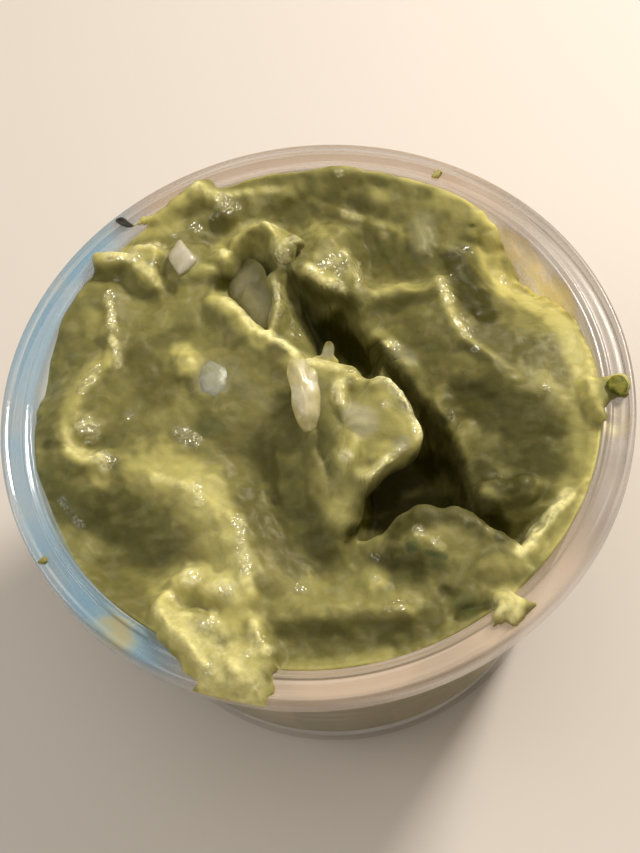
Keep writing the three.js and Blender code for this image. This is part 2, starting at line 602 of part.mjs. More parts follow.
/** The straight-walled block that is cut away for a deep hollow. */
function hollowGeometry({ outline, floor }) {
  const corners = smoothPoints(outline, true).map((point) => new THREE.Vector2(point.x, point.y));
  const geometry = new THREE.ExtrudeGeometry(new THREE.Shape(corners), {
    depth: HEADROOM - floor, bevelEnabled: false,
  });
  return geometry.translate(0, 0, floor);
}

// ---------------------------------------------------------------- lobes and pieces

const EDGE_FALL = 2.2;   // how late a cushion's middle height gives way to its outline's

/** A cushion-shaped solid on a closed outline. grow swells it by that many millimetres. */
function cushion({ outline, centre, rise, drop, boxiness }, rings, sides, grow = 0) {
  const middle = new THREE.Vector3(...centre);
  const edge = smoothPoints(outline, true, sides).map((point) => {
    const out = point.clone().sub(middle).setZ(0);
    return point.add(out.setLength(grow));
  });
  if (THREE.ShapeUtils.area(edge) < 0) edge.reverse();
  const positions = [];
  const triangles = [];
  const ring = (s, side) => {
    const dome = Math.sqrt(Math.max(1 - s ** boxiness, 0)) * (side > 0 ? rise + grow : -drop - grow);
    for (const point of edge) {
      const z = THREE.MathUtils.lerp(middle.z, point.z, s ** EDGE_FALL);
      const p = middle.clone().lerp(point, s);
      positions.push(p.x, p.y, z + dome);
    }
  };
  const radii = Array.from({ length: rings }, (_, k) => Math.sin(Math.PI / 2 * (k + 1) / rings));
  positions.push(middle.x, middle.y, middle.z + rise + grow);
  radii.forEach((s) => ring(s, 1));
  radii.slice(0, -1).reverse().forEach((s) => ring(s, -1));
  positions.push(middle.x, middle.y, middle.z - drop - grow);
  const bands = 2 * rings - 1;
  const at = (band, k) => 1 + band * sides + k % sides;
  const last = 1 + bands * sides;
  for (let k = 0; k < sides; k += 1) {
    triangles.push(0, at(0, k), at(0, k + 1));
    triangles.push(last, at(bands - 1, k + 1), at(bands - 1, k));
    for (let band = 0; band < bands - 1; band += 1) {
      triangles.push(at(band, k), at(band + 1, k), at(band + 1, k + 1));
      triangles.push(at(band, k), at(band + 1, k + 1), at(band, k + 1));
    }
  }
  return meshGeometry(positions, triangles);
}

// ---------------------------------------------------------------- the cup

/** Radius of the inside of the wall at height z, measured from the rim plane. */
const wallRadius = (z) => CUP.wallTopRadius + CUP.taper * Math.min(z, 0);

/** A closed solid of revolution from profile points [radius, z] that start and end on the axis. */
function turned(profile) {
  const points = profile.map(([radius, z]) => new THREE.Vector2(radius, z));
  const geometry = new THREE.LatheGeometry(points, CUP.segments);
  geometry.rotateX(Math.PI / 2);
  return geometry;
}

/** The clear cup: foot ring, tapered wall, beaded rim and the skirt that hangs from it. */
function cupGeometry() {
  const base = -CUP.height;
  const floor = base + CUP.footRecess + CUP.floor;
  const outer = wallRadius(base) + CUP.wall;
  const rim = CUP.rimRadius;
  const profile = [
    [0, base + CUP.footRecess],
    [outer - CUP.footWidth - 1.2, base + CUP.footRecess],
    [outer - CUP.footWidth - 0.6, base],
    [outer - 0.6, base],
    [outer, base + 0.6],
    [CUP.wallTopRadius + CUP.wall - 0.3, -1.6],
    [CUP.wallTopRadius + CUP.wall + 0.3, -1],
    [rim - CUP.lipThickness - 0.2, -1],
    [rim - CUP.lipThickness, -1.4],
    [rim - CUP.lipThickness, -CUP.skirt],
    [rim, -CUP.skirt],
    [rim, -0.5],
    [rim - 0.2, -0.15],
    [rim - 0.6, 0],
    [rim - 1.3, -0.25],
    [CUP.wallTopRadius + 1, -0.25],
    [CUP.wallTopRadius + 0.6, 0],
    [CUP.wallTopRadius + 0.2, -0.1],
    [wallRadius(-0.6), -0.6],
    [wallRadius(floor + 1.5), floor + 1.5],
    [wallRadius(floor) - 0.6, floor + 0.4],
    [wallRadius(floor) - 1.6, floor],
    [0, floor],
  ];
  return turned(profile);
}

/** The room for the contents: inside the wall, over the rim and open to the air above. */
function roomGeometry() {
  const floor = -CUP.height + CUP.footRecess + CUP.floor + GAP;
  const profile = [
    [0, floor],
    [wallRadius(floor) - 2 - GAP, floor],
    [wallRadius(floor + 2) - GAP, floor + 2],
    [wallRadius(0) - GAP, -0.4],
    [wallRadius(0) - 0.1, GAP],
    [CUP.rimRadius - 0.2, GAP],
    [CUP.rimRadius - 0.2, HEADROOM],
    [0, HEADROOM],
  ];
  return turned(profile);
}

// ---------------------------------------------------------------- assembly

const materials = {
  cup: new THREE.MeshStandardMaterial({
    color: 0xdfe6ea, roughness: 0.12, metalness: 0, transparent: true, opacity: 0.35,
  }),
  guacamole: new THREE.MeshStandardMaterial({ color: 0x9a9445, roughness: 0.35, metalness: 0 }),
};

/** A named mesh. */
function part(name, geometry, material) {
  const mesh = new THREE.Mesh(geometry, material);
  mesh.name = name;
  return mesh;
}

/** The guacamole: the disc less its hollows, with its lobes, trimmed and cut clear of each piece. */
function guacamoleGeometry() {
  let solid = toSolid(roughDisc());
  for (const hollow of HOLLOWS) solid = solid.subtract(toSolid(hollowGeometry(hollow)));
  for (const lobe of LOBES) {
    const sides = Math.round(outlineLength(lobe.outline) / LOBE_SIDE_LENGTH);
    solid = solid.add(toSolid(cushion(lobe, LOBE_RINGS, sides)));
  }
  solid = solid.intersect(toSolid(roomGeometry()));
  for (const piece of PIECES) {
    solid = solid.subtract(toSolid(cushion(piece, PIECE_RINGS, PIECE_SIDES, GAP)));
  }
  return toGeometry(solid);
}

const contents = new THREE.Group();
contents.position.z = CUP.height;
contents.add(part('clear_cup', cupGeometry(), materials.cup));
contents.add(part('guacamole', guacamoleGeometry(), materials.guacamole));
for (const piece of PIECES) {
  const material = new THREE.MeshStandardMaterial({ color: piece.colour, roughness: 0.3, metalness: 0 });
  contents.add(part(piece.name, cushion(piece, PIECE_RINGS, PIECE_SIDES), material));
}

const portion = new THREE.Group();
portion.add(contents);

export default portion;
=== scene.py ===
"""A clear round portion cup heaped with guacamole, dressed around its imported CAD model.

Every size is in millimetres, measured from the centre of the rim plane: x to the right, y to
the back, z up. to_frame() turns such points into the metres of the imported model's own frame.
"""

import logging
import math
from dataclasses import dataclass, field
from enum import Enum
from typing import Sequence

import bpy
import numpy as np
from mathutils import Matrix, Vector


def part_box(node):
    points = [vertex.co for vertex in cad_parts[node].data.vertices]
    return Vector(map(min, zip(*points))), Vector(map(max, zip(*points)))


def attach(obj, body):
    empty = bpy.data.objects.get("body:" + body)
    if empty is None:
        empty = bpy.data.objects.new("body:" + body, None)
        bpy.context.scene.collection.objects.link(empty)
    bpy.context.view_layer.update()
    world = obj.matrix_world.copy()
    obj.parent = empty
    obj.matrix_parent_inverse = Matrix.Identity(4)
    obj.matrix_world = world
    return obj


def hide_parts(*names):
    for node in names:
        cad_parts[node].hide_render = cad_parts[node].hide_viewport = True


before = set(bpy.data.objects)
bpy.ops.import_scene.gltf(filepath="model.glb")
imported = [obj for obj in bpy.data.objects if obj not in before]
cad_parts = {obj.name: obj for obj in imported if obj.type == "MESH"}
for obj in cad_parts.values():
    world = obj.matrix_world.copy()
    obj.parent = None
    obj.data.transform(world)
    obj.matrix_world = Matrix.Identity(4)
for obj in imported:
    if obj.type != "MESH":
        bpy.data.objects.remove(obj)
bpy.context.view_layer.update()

LOG = logging.getLogger("guacamole")
BODY = "root"
MM = 0.001
RIM_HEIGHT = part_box("clear_cup")[1].z
RIM_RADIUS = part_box("clear_cup")[1].x / MM
TINY = 1e-12
LEAST_LENGTH = 1e-6

Point = tuple[float, ...]


# ------------------------------------------------------------------ arithmetic on whole arrays

def to_frame(points: np.ndarray) -> np.ndarray:
    """Millimetres from the rim's centre to metres in the model's frame."""
    return points * MM + np.array([0.0, 0.0, RIM_HEIGHT])


def smooth_step(t: np.ndarray) -> np.ndarray:
    """A smooth rise from 0 to 1 as t goes from 0 to 1: three t squared less two t cubed."""
    t = np.clip(t, 0.0, 1.0)
    return t * t * (3.0 - 2.0 * t)


def smooth_max(a: np.ndarray, b: np.ndarray, width: float) -> np.ndarray:
    """The larger of a and b, rounded by a parabola where they are within width of each other."""
    share = np.clip(0.5 + 0.5 * (a - b) / width, 0.0, 1.0)
    return b + (a - b) * share + width * share * (1.0 - share)


def smooth_curve(named: Sequence[Point], closed: bool, steps: int = 5) -> np.ndarray:
    """Points of the Catmull-Rom curve through named points.

    Args:
        named: the points that the curve passes through, with two or three coordinates.
        closed: whether the last point joins the first.
        steps: how many points stand for each stretch between two named points.

    Returns:
        An array with one row for each point.
    """
    p = np.asarray(named, float)
    if p.shape[1] == 2:
        p = np.column_stack([p, np.zeros(len(p))])
    if closed:
        before, after, beyond = np.roll(p, 1, 0), np.roll(p, -1, 0), np.roll(p, -2, 0)
    else:
        before = np.vstack([p[:1], p[:-2]])
        after = p[1:]
        beyond = np.vstack([p[2:], p[-1:]])
    here = p[: len(before)]
    t = (np.arange(steps) / steps)[None, :, None]
    a, b, c, d = (q[:, None, :] for q in (before, here, after, beyond))
    curve = 0.5 * (2 * b + (c - a) * t + (2 * a - 5 * b + 4 * c - d) * t ** 2
                   + (3 * b - a - 3 * c + d) * t ** 3)
    curve = curve.reshape(-1, 3)
    return curve if closed else np.vstack([curve, p[-1:]])


def along_line(x: np.ndarray, y: np.ndarray, line: np.ndarray) -> tuple[np.ndarray, ...]:
    """For each place (x, y), the nearest point of an open line.

    Args:
        x, y: the places.
        line: the line's points, one row each.

    Returns:
        The distance to it, the side (plus is left of the line's direction) and its height.
    """
    distance = np.full(x.shape, np.inf)
    side = np.zeros(x.shape)
    height = np.zeros(x.shape)
    for a, b in zip(line[:-1], line[1:]):
        dx, dy, dz = b - a
        t = np.clip(((x - a[0]) * dx + (y - a[1]) * dy) / (dx * dx + dy * dy + TINY), 0, 1)
        ex, ey = x - a[0] - t * dx, y - a[1] - t * dy
        reach = np.hypot(ex, ey)
        nearer = reach < distance
        distance = np.where(nearer, reach, distance)
        side = np.where(nearer, np.sign(dx * ey - dy * ex), side)
        height = np.where(nearer, a[2] + t * dz, height)
    return distance, side, height


def inside_outline(x: np.ndarray, y: np.ndarray, outline: np.ndarray) -> tuple[np.ndarray, ...]:
    """For each place (x, y), how far it is inside a closed outline, and the way further in.

    Args:
        x, y: the places.
        outline: the outline's points, one row each.

    Returns:
        The distance to the outline (minus outside it) and a unit vector's x and y that points in.
    """
    distance = np.full(x.shape, np.inf)
    way_x = np.zeros(x.shape)
    way_y = np.zeros(x.shape)
    inside = np.zeros(x.shape, bool)
    for a, b in zip(outline, np.roll(outline, -1, 0)):
        dx, dy = b[:2] - a[:2]
        t = np.clip(((x - a[0]) * dx + (y - a[1]) * dy) / (dx * dx + dy * dy + TINY), 0, 1)
        ex, ey = a[0] + t * dx - x, a[1] + t * dy - y
        reach = np.hypot(ex, ey)
        nearer = reach < distance
        distance = np.where(nearer, reach, distance)
        way_x = np.where(nearer, ex, way_x)
        way_y = np.where(nearer, ey, way_y)
        crosses = (a[1] > y) != (b[1] > y)
        inside ^= crosses & (x < dx * (y - a[1]) / (dy + TINY) + a[0])
    turn = np.where(inside, -1.0, 1.0) / np.maximum(distance, LEAST_LENGTH)
    return np.where(inside, distance, -distance), way_x * turn, way_y * turn


class Noise:
    """Seeded noise in space, worked out for many points at once.

    Its slopes and offsets repeat after TABLE cells. GAIN brings the blended slopes to about -1
    to 1, SHIFT is how far apart the layers of rough() are read, and lumps() is 1 at a centre
    and falls by LUMP_FALL for each squared cell width, up to LUMP_REACH of them.
    """

    TABLE = 32
    GAIN = 1.6
    SHIFT = 17.3
    LUMP_FALL = 2.4
    LUMP_REACH = 0.9

    def __init__(self, seed: int) -> None:
        """Draws the random slopes and offsets that stand on the lattice's corners.

        Args:
            seed: what the random numbers start from.
        """
        draw = np.random.default_rng(seed)
        slopes = draw.normal(size=(self.TABLE,) * 3 + (3,))
        self.slopes = slopes / np.linalg.norm(slopes, axis=-1, keepdims=True)
        self.offsets = draw.uniform(0.1, 0.9, size=(self.TABLE,) * 3 + (3,))

    def smooth(self, points: np.ndarray, size: float) -> np.ndarray:
        """Gradient noise from about -1 to 1.

        Each lattice corner holds a slope, and a point blends the planes of its eight corners.

        Args:
            points: one row for each point.
            size: the side of a lattice cell.

        Returns:
            One value for each point.
        """
        q = points / size
        corner = np.floor(q).astype(int)
        part = q - corner
        fade = part ** 3 * (part * (part * 6 - 15) + 10)
        total = np.zeros(len(points))
        for step in np.ndindex(2, 2, 2):
            at = (corner + step) % self.TABLE
            slope = self.slopes[at[:, 0], at[:, 1], at[:, 2]]
            weight = np.prod(np.where(np.array(step) == 1, fade, 1 - fade), axis=1)
            total += weight * np.einsum("ij,ij->i", slope, part - step)
        return self.GAIN * total

    def rough(self, points: np.ndarray, size: float, octaves: int = 3) -> np.ndarray:
        """Sum of smooth noises, each half the size and half the height of the one before."""
        layers = [self.smooth(points + self.SHIFT * k, size / 2 ** k) / 2 ** k
                  for k in range(octaves)]
        return np.sum(layers, axis=0)

    def lumps(self, points: np.ndarray, size: float) -> np.ndarray:
        """Rounded lumps with creases between them, from about -1 to 1.

        Each lattice cell holds one lump's centre, and the height falls with the distance to the
        nearest centre.

        Args:
            points: one row for each point.
            size: the usual width of a lump.

        Returns:
            One value for each point.
        """
        q = points / size
        cell = np.floor(q).astype(int)
        nearest = np.full(len(points), np.inf)
        for step in np.ndindex(3, 3, 3):
            home = cell + np.array(step) - 1
            at = home % self.TABLE
            centre = home + self.offsets[at[:, 0], at[:, 1], at[:, 2]]
            nearest = np.minimum(nearest, np.sum((q - centre) ** 2, axis=1))
        return 1.0 - self.LUMP_FALL * np.minimum(nearest, self.LUMP_REACH)


NOISE = Noise(seed=7)


# ------------------------------------------------------------------ meshes

def new_mesh(name: str, points: np.ndarray, faces: Sequence[Sequence[int]]) -> bpy.types.Object:
    """A smooth-shaded mesh object at the origin, from points in millimetres.

    Args:
        name: the object's name.
        points: one row for each vertex.
        faces: the corners of each face.

    Returns:
        The object, linked to the scene.
    """
    mesh = bpy.data.meshes.new(name)
    mesh.from_pydata(to_frame(np.asarray(points, float)).tolist(), [], faces)
    mesh.update()
    mesh.shade_smooth()
    thing = bpy.data.objects.new(name, mesh)
    bpy.context.scene.collection.objects.link(thing)
    return thing


def grid_faces(rows: int, columns: int, wrap: bool) -> np.ndarray:
    """Four-sided faces between neighbours on a grid of points, row by row.

    Args:
        rows: how many rows of points.
        columns: how many points in a row.
        wrap: whether each row closes on itself.

    Returns:
        One row of four corners for each face.
    """
    index = np.arange(rows * columns).reshape(rows, columns)
    if wrap:
        index = np.column_stack([index, index[:, 0]])
    corners = index[:-1, :-1], index[:-1, 1:], index[1:, 1:], index[1:, :-1]
    return np.stack(corners, axis=-1).reshape(-1, 4)


def fan(first: np.ndarray, second: np.ndarray, tip: int) -> list:
    """Triangles that join each pair of neighbours on a ring, first and second, to a tip."""
    return np.column_stack([first, second, np.full(len(first), tip)]).tolist()


def turned(profile: Sequence[Point], segments: int) -> tuple[np.ndarray, list]:
    """A solid of revolution: a profile of (radius, z), carried round the Z axis.

    Args:
        profile: points that run from the axis, out and back to the axis, and so close the solid.
        segments: how many steps go round.

    Returns:
        The points and the faces.
    """
    angle = np.linspace(0, 2 * math.pi, segments, endpoint=False)
    ring = np.array(profile[1:-1], float)
    around = np.stack([np.outer(ring[:, 0], np.cos(angle)), np.outer(ring[:, 0], np.sin(angle)),
                       np.repeat(ring[:, 1:], segments, axis=1)], axis=-1).reshape(-1, 3)
    ends = [[0, 0, profile[0][1]], [0, 0, profile[-1][1]]]
    faces = grid_faces(len(ring), segments, wrap=True).tolist()
    first = np.arange(segments)
    after = (first + 1) % segments
    last = (len(ring) - 1) * segments
    start, stop = len(around), len(around) + 1
    faces += fan(after, first, start)
    faces += fan(last + first, last + after, stop)
    return np.vstack([around, ends]), faces


class Join(Enum):
    """The ways in which one solid is joined to or cut by another."""

    ADD = "UNION"
    KEEP_WITHIN = "INTERSECT"


def combine(base: bpy.types.Object, tool: bpy.types.Object, how: Join) -> None:
    """Joins one closed mesh to another or trims it, and removes the other.

    Args:
        base: the mesh that changes.
        tool: the mesh that is joined to it or that it is trimmed to.
        how: which of the two.
    """
    modifier = base.modifiers.new("join", "BOOLEAN")
    modifier.operation = how.value
    modifier.object = tool
    modifier.solver = "MANIFOLD"
    graph = bpy.context.evaluated_depsgraph_get()
    base.data = bpy.data.meshes.new_from_object(base.evaluated_get(graph))
    base.modifiers.clear()
    bpy.data.objects.remove(tool)


@dataclass
class Surface:
    """A mesh's vertices, edges and normals as arrays, in millimetres."""

    thing: bpy.types.Object
    points: np.ndarray = field(init=False)
    edges: np.ndarray = field(init=False)

    def __post_init__(self) -> None:
        """Reads the mesh."""
        mesh = self.thing.data
        flat = np.zeros(len(mesh.vertices) * 3)
        mesh.vertices.foreach_get("co", flat)
        self.points = (flat.reshape(-1, 3) - [0, 0, RIM_HEIGHT]) / MM
        pairs = np.zeros(len(mesh.edges) * 2, int)
        mesh.edges.foreach_get("vertices", pairs)
        self.edges = pairs.reshape(-1, 2)

    def write(self) -> None:
        """Puts the points back into the mesh."""
        self.thing.data.vertices.foreach_set("co", to_frame(self.points).ravel())
        self.thing.data.update()

    def normals(self) -> np.ndarray:
        """The mesh's vertex normals as they were after the last write().

        Returns:
            One unit vector for each vertex.
        """
        flat = np.zeros(len(self.points) * 3)
        self.thing.data.vertex_normals.foreach_get("vector", flat)
        return flat.reshape(-1, 3)

    def mean_of_neighbours(self, values: np.ndarray) -> np.ndarray:
        """The mean over the vertices that an edge joins each vertex to.

        Args:
            values: one number or one row for each vertex.

        Returns:
            The means, in the same shape.
        """
        count = len(values)
        a, b = self.edges.T
        degree = np.bincount(self.edges.ravel(), minlength=count)
        columns = values.reshape(count, -1)
        sums = [np.bincount(a, column[b], count) + np.bincount(b, column[a], count)
                for column in columns.T]
        return (np.stack(sums, axis=1) / degree[:, None]).reshape(values.shape)

    def relaxed(self, rounds: int, weight: np.ndarray) -> np.ndarray:
        """The points after they have moved some rounds towards the mean of their neighbours.

        Args:
            rounds: how many times they move.
            weight: the share of the way that each of them goes in a round.

        Returns:
            The moved points. The surface's own stay as they are.
        """
        points = self.points
        for _ in range(rounds):
            points = points + weight[:, None] * (self.mean_of_neighbours(points) - points)
        return points

    def store(self, name: str, values: np.ndarray) -> None:
        """Keeps one number for each vertex as a named attribute of the mesh."""
        attribute = self.thing.data.attributes.new(name, "FLOAT", "POINT")
        attribute.data.foreach_set("value", values.astype(np.float32))


# ------------------------------------------------------------------ materials

Socket = bpy.types.NodeSocket
Value = Socket | float


@dataclass(frozen=True)
class Patches:
    """Soft-edged patches made of noise whose lumps are size millimetres wide.

    They are least where the noise is below start and most where it is above full.
    """

    size: float
    start: float
    full: float
    detail: float = 3.0
    warp: float = 0.0
    least: float = 0.0
    most: float = 1.0


@dataclass(frozen=True)
class Film:
    """A smear of guacamole on the plastic: full within inner of its place, gone at outer."""

    place: Point
    inner: float
    outer: float
    tint: Point


class NodeSheet:
    """A material's node tree, with short calls that add nodes and link them."""

    def __init__(self, name: str) -> None:
        """Makes the material with its Principled shader.

        Args:
            name: the material's name.
        """
        self.material = bpy.data.materials.new(name)
        self.material.use_nodes = True
        self.tree = self.material.node_tree
        self.shader = self.tree.nodes["Principled BSDF"]
        self.place = self.tree.nodes.new("ShaderNodeTexCoord").outputs["Object"]

    def set(self, **values: float | Point) -> None:
        """Sets sockets of the Principled shader, named with underscores for spaces."""
        for name, value in values.items():
            self.shader.inputs[name.replace("_", " ")].default_value = value

    def link(self, source: Socket, socket: str) -> None:
        """Links a socket of some node to one of the Principled shader's."""
        self.tree.links.new(source, self.shader.inputs[socket])

    def feed(self, socket: Socket, value: Value | Point) -> None:
        """Links a socket to another, or sets it.

        Args:
            socket: the socket that is fed.
            value: the other socket, a number, or a colour's red, green and blue.
        """
        if isinstance(value, Socket):
            self.tree.links.new(value, socket)
        else:
            socket.default_value = (*value, 1.0) if isinstance(value, tuple) else value

    def math(self, operation: str, a: Value, b: Value, clamp: bool = False) -> Socket:
        """A Math node.

        Args:
            operation: which sum it does.
            a, b: the sockets or numbers that it works on.
            clamp: whether the result is kept between 0 and 1.

        Returns:
            The result's socket.
        """
        node = self.tree.nodes.new("ShaderNodeMath")
        node.operation = operation
        node.use_clamp = clamp
        self.feed(node.inputs[0], a)
        self.feed(node.inputs[1], b)
        return node.outputs[0]

    def noise(self, size: float, detail: float, warp: float = 0.0) -> Socket:
        """Noise from 0 to 1.

        Args:
            size: the width of its lumps in millimetres.
            detail: how many finer layers lie on them.
            warp: how far they are drawn out.

        Returns:
            The noise's socket.
        """
        node = self.tree.nodes.new("ShaderNodeTexNoise")
        node.inputs["Scale"].default_value = 1.0 / (size * MM)
        node.inputs["Detail"].default_value = detail
        node.inputs["Distortion"].default_value = warp
        self.tree.links.new(self.place, node.inputs["Vector"])
        return node.outputs["Fac"]

    def attribute(self, name: str) -> Socket:
        """The number kept for each vertex under a name."""
        node = self.tree.nodes.new("ShaderNodeAttribute")
        node.attribute_name = name
        return node.outputs["Fac"]

    def span(self, value: Socket, low: float, high: float, to_low: float, to_high: float) -> Socket:
        """A value moved smoothly from one range into another.

        Args:
            value: the value's socket.
            low, high: the range that it comes from, past which it is held.
            to_low, to_high: what low and high become.

        Returns:
            The moved value's socket.
        """
        node = self.tree.nodes.new("ShaderNodeMapRange")
        node.interpolation_type = "SMOOTHSTEP"
        for name, number in zip(("From Min", "From Max", "To Min", "To Max"),
                                (low, high, to_low, to_high)):
            node.inputs[name].default_value = number
        self.tree.links.new(value, node.inputs["Value"])
        return node.outputs["Result"]

    def patches(self, kind: Patches) -> Socket:
        """The value of soft-edged patches."""
        noise = self.noise(kind.size, kind.detail, kind.warp)
        return self.span(noise, kind.start, kind.full, kind.least, kind.most)

    def near(self, film: Film) -> Socket:
        """1 in the middle of a film, which fades to 0 at its outer radius.

        Args:
            film: the film.

        Returns:
            The value's socket.
        """
        node = self.tree.nodes.new("ShaderNodeVectorMath")
        node.operation = "DISTANCE"
        node.inputs[1].default_value = to_frame(np.array(film.place, float)).tolist()
        self.tree.links.new(self.place, node.inputs[0])
        return self.span(node.outputs["Value"], film.inner * MM, film.outer * MM, 1.0, 0.0)

    def blend(self, share: Socket, a: Socket | Point, b: Socket | Point) -> Socket:
        """Colour a turning into colour b.

        Args:
            share: how much of b there is, from 0 to 1.
            a, b: the colours, as sockets or as red, green and blue.

        Returns:
            The mixed colour's socket.
        """
        node = self.tree.nodes.new("ShaderNodeMix")
        node.data_type = "RGBA"
        for identifier, value in (("Factor_Float", share), ("A_Color", a), ("B_Color", b)):
            socket = next(item for item in node.inputs if item.identifier == identifier)
            self.feed(socket, value)
        return next(item for item in node.outputs if item.identifier == "Result_Color")

    def bump(self, height: Socket, depth: float, strength: float,
             before: Socket | None = None) -> Socket:
        """A normal that leans as a fine relief's would.

        Args:
            height: the relief, from 0 to 1.
            depth: its depth in millimetres.
            strength: how much of its lean is used.
            before: another relief's normal, which this one adds to.

        Returns:
            The normal's socket.
        """
        node = self.tree.nodes.new("ShaderNodeBump")
        node.inputs["Distance"].default_value = depth * MM
        node.inputs["Strength"].default_value = strength
        self.tree.links.new(height, node.inputs["Height"])
        if before is not None:
            self.tree.links.new(before, node.inputs["Normal"])
        return node.outputs["Normal"]


@dataclass(frozen=True)
class MashFinish:
    """Wet mashed avocado: olive, blotched, paler where it is thin and glinting where it is wet,
    with painted highlight and glow on crests and lit places and painted shade in dents and shaded
    places.
    """

    olive: Point = (0.216, 0.194, 0.060)
    dull: Point = (0.182, 0.164, 0.050)
    warm: Point = (0.265, 0.235, 0.082)
    bit: Point = (0.285, 0.262, 0.125)
    green: Point = (0.135, 0.140, 0.045)
    shade: Point = (0.125, 0.117, 0.016)
    # Painted shade: the near-black colour laid in dents and in the places where shade falls.
    painted_shade: Point = (0.036, 0.032, 0.001)
    # Partly the mash's own golden tone, partly painted glow and light on thin edges, crests and lit
    # slopes.
    yellow_and_painted_glow: Point = (0.57, 0.505, 0.165)
    # Partly the mash's own paler thin edges, partly painted highlight on crests and lit places.
    cream_and_painted_highlight: Point = (0.84, 0.77, 0.38)
    pale: Point = (0.44, 0.41, 0.28)
    leaf: Point = (0.060, 0.082, 0.026)
    drift: Patches = Patches(size=6.0, warp=0.6, start=0.35, full=0.65)
    blotch: Patches = Patches(size=2.6, warp=0.6, start=0.45, full=0.70, most=0.45)
    dim: Patches = Patches(size=1.7, warp=0.4, start=0.48, full=0.72, most=0.28)
    # Breaks the painted glow into flecks.
    fleck: Patches = Patches(size=1.3, warp=0.3, start=0.3, full=0.65, least=0.84)
    # Breaks the painted highlight into specks.
    grain: Patches = Patches(size=0.6, detail=2.0, start=0.3, full=0.65, least=0.5)
    matt: Patches = Patches(size=1.1, start=0.35, full=0.7, least=0.45, most=0.60)

    def colour(self, sheet: NodeSheet) -> Socket:
        """Blotches, bits and flecks on olive, then the places that the mesh has marked: painted
        glow, painted shade, painted highlight, pale onion and leaf.

        Args:
            sheet: the node tree that it goes into.

        Returns:
            The colour's socket.
        """
        colour = sheet.blend(sheet.patches(self.drift), self.olive, self.dull)
        colour = sheet.blend(sheet.patches(self.blotch), colour, self.warm)
        tone = sheet.noise(size=3.6, detail=1.0, warp=1.6)
        colour = sheet.blend(sheet.span(tone, 0.56, 0.66, 0.0, 0.40), colour, self.bit)
        opposite = sheet.math("SUBTRACT", 1.0, tone)
        colour = sheet.blend(sheet.span(opposite, 0.56, 0.68, 0.0, 0.35), colour, self.green)
        colour = sheet.blend(sheet.patches(self.dim), colour, self.shade)
        # Partly painted glow and light: crests and the listed strokes turn golden, in flecks.
        fleck = sheet.patches(self.fleck)
        yellow_and_painted_glow = sheet.math("MULTIPLY", sheet.attribute("yellow_and_painted_glow"), fleck)
        colour = sheet.blend(yellow_and_painted_glow, colour, self.yellow_and_painted_glow)
        # Painted shade: dents and the listed shaded places are darkened towards near black.
        colour = sheet.blend(sheet.attribute("painted_shade"), colour, self.painted_shade)
        # Partly painted highlight: crests and the listed strokes are made paler, broken into
        # specks.
        grain = sheet.patches(self.grain)
        cream_and_painted_highlight = sheet.math("MULTIPLY", sheet.attribute("cream_and_painted_highlight"), grain)
        colour = sheet.blend(cream_and_painted_highlight, colour, self.cream_and_painted_highlight)
        colour = sheet.blend(sheet.attribute("pale"), colour, self.pale)
        return sheet.blend(sheet.attribute("leafy"), colour, self.leaf)

    def build(self) -> bpy.types.Material:
        """The mash's colour with a soft relief, and wet crumbs that stand out in its coat.

        Returns:
            The material.
        """
        sheet = NodeSheet("guacamole_mash")
        sheet.link(self.colour(sheet), "Base Color")
        wet = sheet.attribute("wet")
        sheet.link(sheet.patches(self.matt), "Roughness")
        soft = sheet.bump(sheet.noise(size=0.9, detail=3.0, warp=0.4), depth=0.13, strength=0.6)
        rise = sheet.math("SUBTRACT", sheet.noise(size=0.8, detail=1.0), 0.5)
        crumbs = sheet.math("MULTIPLY", rise, sheet.span(wet, 0, 1, 0.02, 1.0))
        flesh = sheet.bump(crumbs, depth=0.3, strength=0.6, before=soft)
        sheet.link(flesh, "Normal")
        skin = sheet.bump(crumbs, depth=0.9, strength=1.0, before=soft)
        sheet.link(skin, "Coat Normal")
        sheet.link(sheet.span(wet, 0.12, 0.7, 0.0, 1.0), "Coat Weight")
        sheet.set(Subsurface_Weight=0.55, Subsurface_Radius=(1.0, 0.85, 0.25),
                  Subsurface_Scale=0.0011, Specular_IOR_Level=0.25, Coat_Roughness=0.17,
                  Coat_IOR=1.8, Specular_Tint=(1.0, 0.92, 0.68, 1.0))
        return sheet.material


@dataclass(frozen=True)
class OnionFinish:
    """Wet raw onion: pale, translucent, faintly stained."""

    flesh: Point
    stain: Point
    margin: Point
    smeared: float
    gloss: float
    stained: Patches = Patches(size=3.2, detail=2.0, warp=0.3, start=0.40, full=0.62, most=0.9)
    ragged: Patches = Patches(size=1.2, detail=2.0, warp=0.5, start=0.3, full=0.7, least=-0.3,
                              most=0.3)

    def build(self, name: str) -> bpy.types.Material:
        """Pale flesh softly stained, smeared with mash towards its margin, with a wet skin.

        Args:
            name: the material's name.

        Returns:
            The material.
        """
        sheet = NodeSheet(name)
        flesh = sheet.blend(sheet.patches(self.stained), self.flesh, self.stain)
        ragged = sheet.patches(self.ragged)
        smear = sheet.math("ADD", sheet.attribute("margin"), ragged, clamp=True)
        smear = sheet.math("MULTIPLY", smear, self.smeared)
        sheet.link(sheet.blend(smear, flesh, self.margin), "Base Color")
        relief = sheet.noise(size=1.2, detail=3.0)
        sheet.link(sheet.bump(relief, depth=0.3, strength=0.6), "Normal")
        sheet.set(Roughness=0.42, Subsurface_Weight=0.7, Subsurface_Radius=(1.0, 0.95, 0.7),
                  Subsurface_Scale=0.0018, Coat_Weight=self.gloss, Coat_Roughness=0.16)
        return sheet.material


